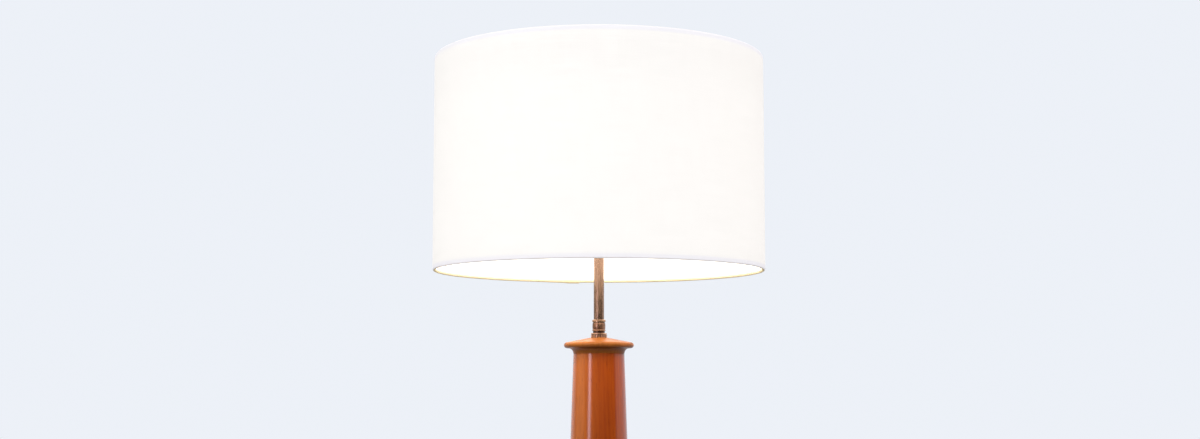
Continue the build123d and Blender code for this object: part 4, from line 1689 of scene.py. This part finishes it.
@dataclass
class Studio:
    """Pale background, floor, soft boxes and camera.

    Bearings are in degrees from the front, towards the right. Reflections see the pale wall from wall_right
    round the back to wall_left. The light of the shade's mouth leaves it downwards. The camera stands where
    the outlines of shade, neck, cap and column fall as in the photograph.
    """

    background: Colour = (0.845, 0.878, 0.935)
    room: Colour = (0.84, 0.85, 0.87)
    room_below: Colour = (0.20, 0.20, 0.20)
    dark_end: Colour = (0.04, 0.04, 0.043)
    horizon_blur: float = 0.1
    wall_right: float = 75.5
    wall_right_blur: float = 1.2
    wall_left: float = -118.0
    wall_left_blur: float = 18.0
    mouth_inset: float = 11 * MM
    mouth_lift: float = 32 * MM
    mouth_radiance: float = 1.7
    mouth_colour: Colour = (1.0, 0.89, 0.68)
    floor_rings: int = 20
    floor_columns: int = 72
    camera_distance: float = 1.9874
    camera_height: float = 0.4538
    camera_side: float = 0.00135
    camera_tilt: float = math.radians(6.072)
    lens: float = 48.743
    sensor_width: float = 36
    boxes: tuple[SoftBox, ...] = (STREAK_BOX, LEFT_BOX, LEFT_FILL, FRONT_FILL, RIGHT_FILL)

    def build(self) -> None:
        """Sets up everything round the lamp."""
        bpy.context.scene.view_settings.view_transform = "Standard"
        self.build_world()
        self.build_floor()
        self.build_camera()
        for box in self.boxes:
            box.place()
        self.build_mouth_light()

    def build_world(self) -> None:
        """The camera sees the pale background.

        Reflections see it behind and beside the lamp, and the dark end of the room before it. Matt surfaces
        are lit by the room, which is darker below the horizon. The bearing of a direction (x, y) is the
        angle atan2(x, -y).
        """
        world = bpy.data.worlds.new("studio")
        bpy.context.scene.world = world
        world.use_nodes = True
        recipe = Recipe(world.node_tree)
        direction = recipe.node("ShaderNodeTexCoord").outputs["Generated"]
        parts = recipe.node("ShaderNodeSeparateXYZ", inputs={0: direction})
        x, y, z = (Value(recipe, output) for output in parts.outputs)
        bearing = x.maths(Operation.BEARING, x, y * -1) * (180 / math.pi)
        right = bearing.rise(self.wall_right - self.wall_right_blur, self.wall_right + self.wall_right_blur)
        left = bearing.rise(self.wall_left + self.wall_left_blur, self.wall_left - self.wall_left_blur)
        rays = recipe.node("ShaderNodeLightPath").outputs
        seen = Value(recipe, rays["Is Camera Ray"]) + Value(recipe, rays["Is Transmission Ray"])
        mirrored = Value(recipe, rays["Is Glossy Ray"])
        room = recipe.mix(z.rise(-self.horizon_blur, self.horizon_blur), self.room_below, self.room)
        lit = recipe.mix(mirrored, room, self.dark_end)
        pale = (seen + mirrored * (right + left)).at_most(1.0)
        colour = recipe.mix(pale, lit, self.background)
        backdrop = recipe.node("ShaderNodeBackground", inputs={"Color": colour})
        recipe.node("ShaderNodeOutputWorld", inputs={"Surface": backdrop.outputs[0]})

    def build_mouth_light(self) -> None:
        """The light that leaves the shade downwards: a disc inside and above the bottom ring, facing down.

        Its power is radiance times pi times its area.
        """
        ring = Ring.of("shade_bottom_ring")
        radius = ring.circle - self.mouth_inset
        lamp = bpy.data.lights.new("lamp_light", "AREA")
        lamp.shape = "DISK"
        lamp.size = 2 * radius
        lamp.color = self.mouth_colour
        lamp.energy = self.mouth_radiance * math.pi * math.pi * radius**2
        holder = bpy.data.objects.new("lamp_light", lamp)
        holder.location = (0, 0, ring.height + self.mouth_lift)
        holder.visible_camera = False
        holder.visible_glossy = False
        bpy.context.scene.collection.objects.link(holder)

    def build_floor(self) -> None:
        """A flat disc of rings and spokes at height 0, facing up."""
        rings = np.linspace(FLOOR.faded_radius, 0, self.floor_rings)
        points = turned(np.column_stack([rings, np.zeros(self.floor_rings)]), self.floor_columns)
        faces = quads(self.floor_rings, self.floor_columns, closed_columns=True)
        floor = piece("floor", points, faces, FLOOR, uv=points[:, :2])

    def build_camera(self) -> None:
        """The camera stands before the lamp at mid height, tilted up towards the lamp's upper half."""
        view = bpy.data.cameras.new("camera")
        view.sensor_width = self.sensor_width
        view.lens = self.lens
        camera = bpy.data.objects.new("camera", view)
        camera.location = (self.camera_side, -self.camera_distance, self.camera_height)
        camera.rotation_euler = (math.pi / 2 + self.camera_tilt, 0, 0)
        bpy.context.scene.collection.objects.link(camera)
        bpy.context.scene.camera = camera


def main() -> None:
    """Builds the sub-assemblies in order, then the studio."""
    logging.basicConfig(level=logging.INFO, format="%(name)s: %(message)s")
    for part in (Foot(), Column(), Neck(), HarpSet(), LampHolder(), Bulb(), Spider(), DrumShade()):
        part.build()
        log.info("%s done", type(part).__name__)
    Studio().build()


if __name__ == "__main__":
    main()
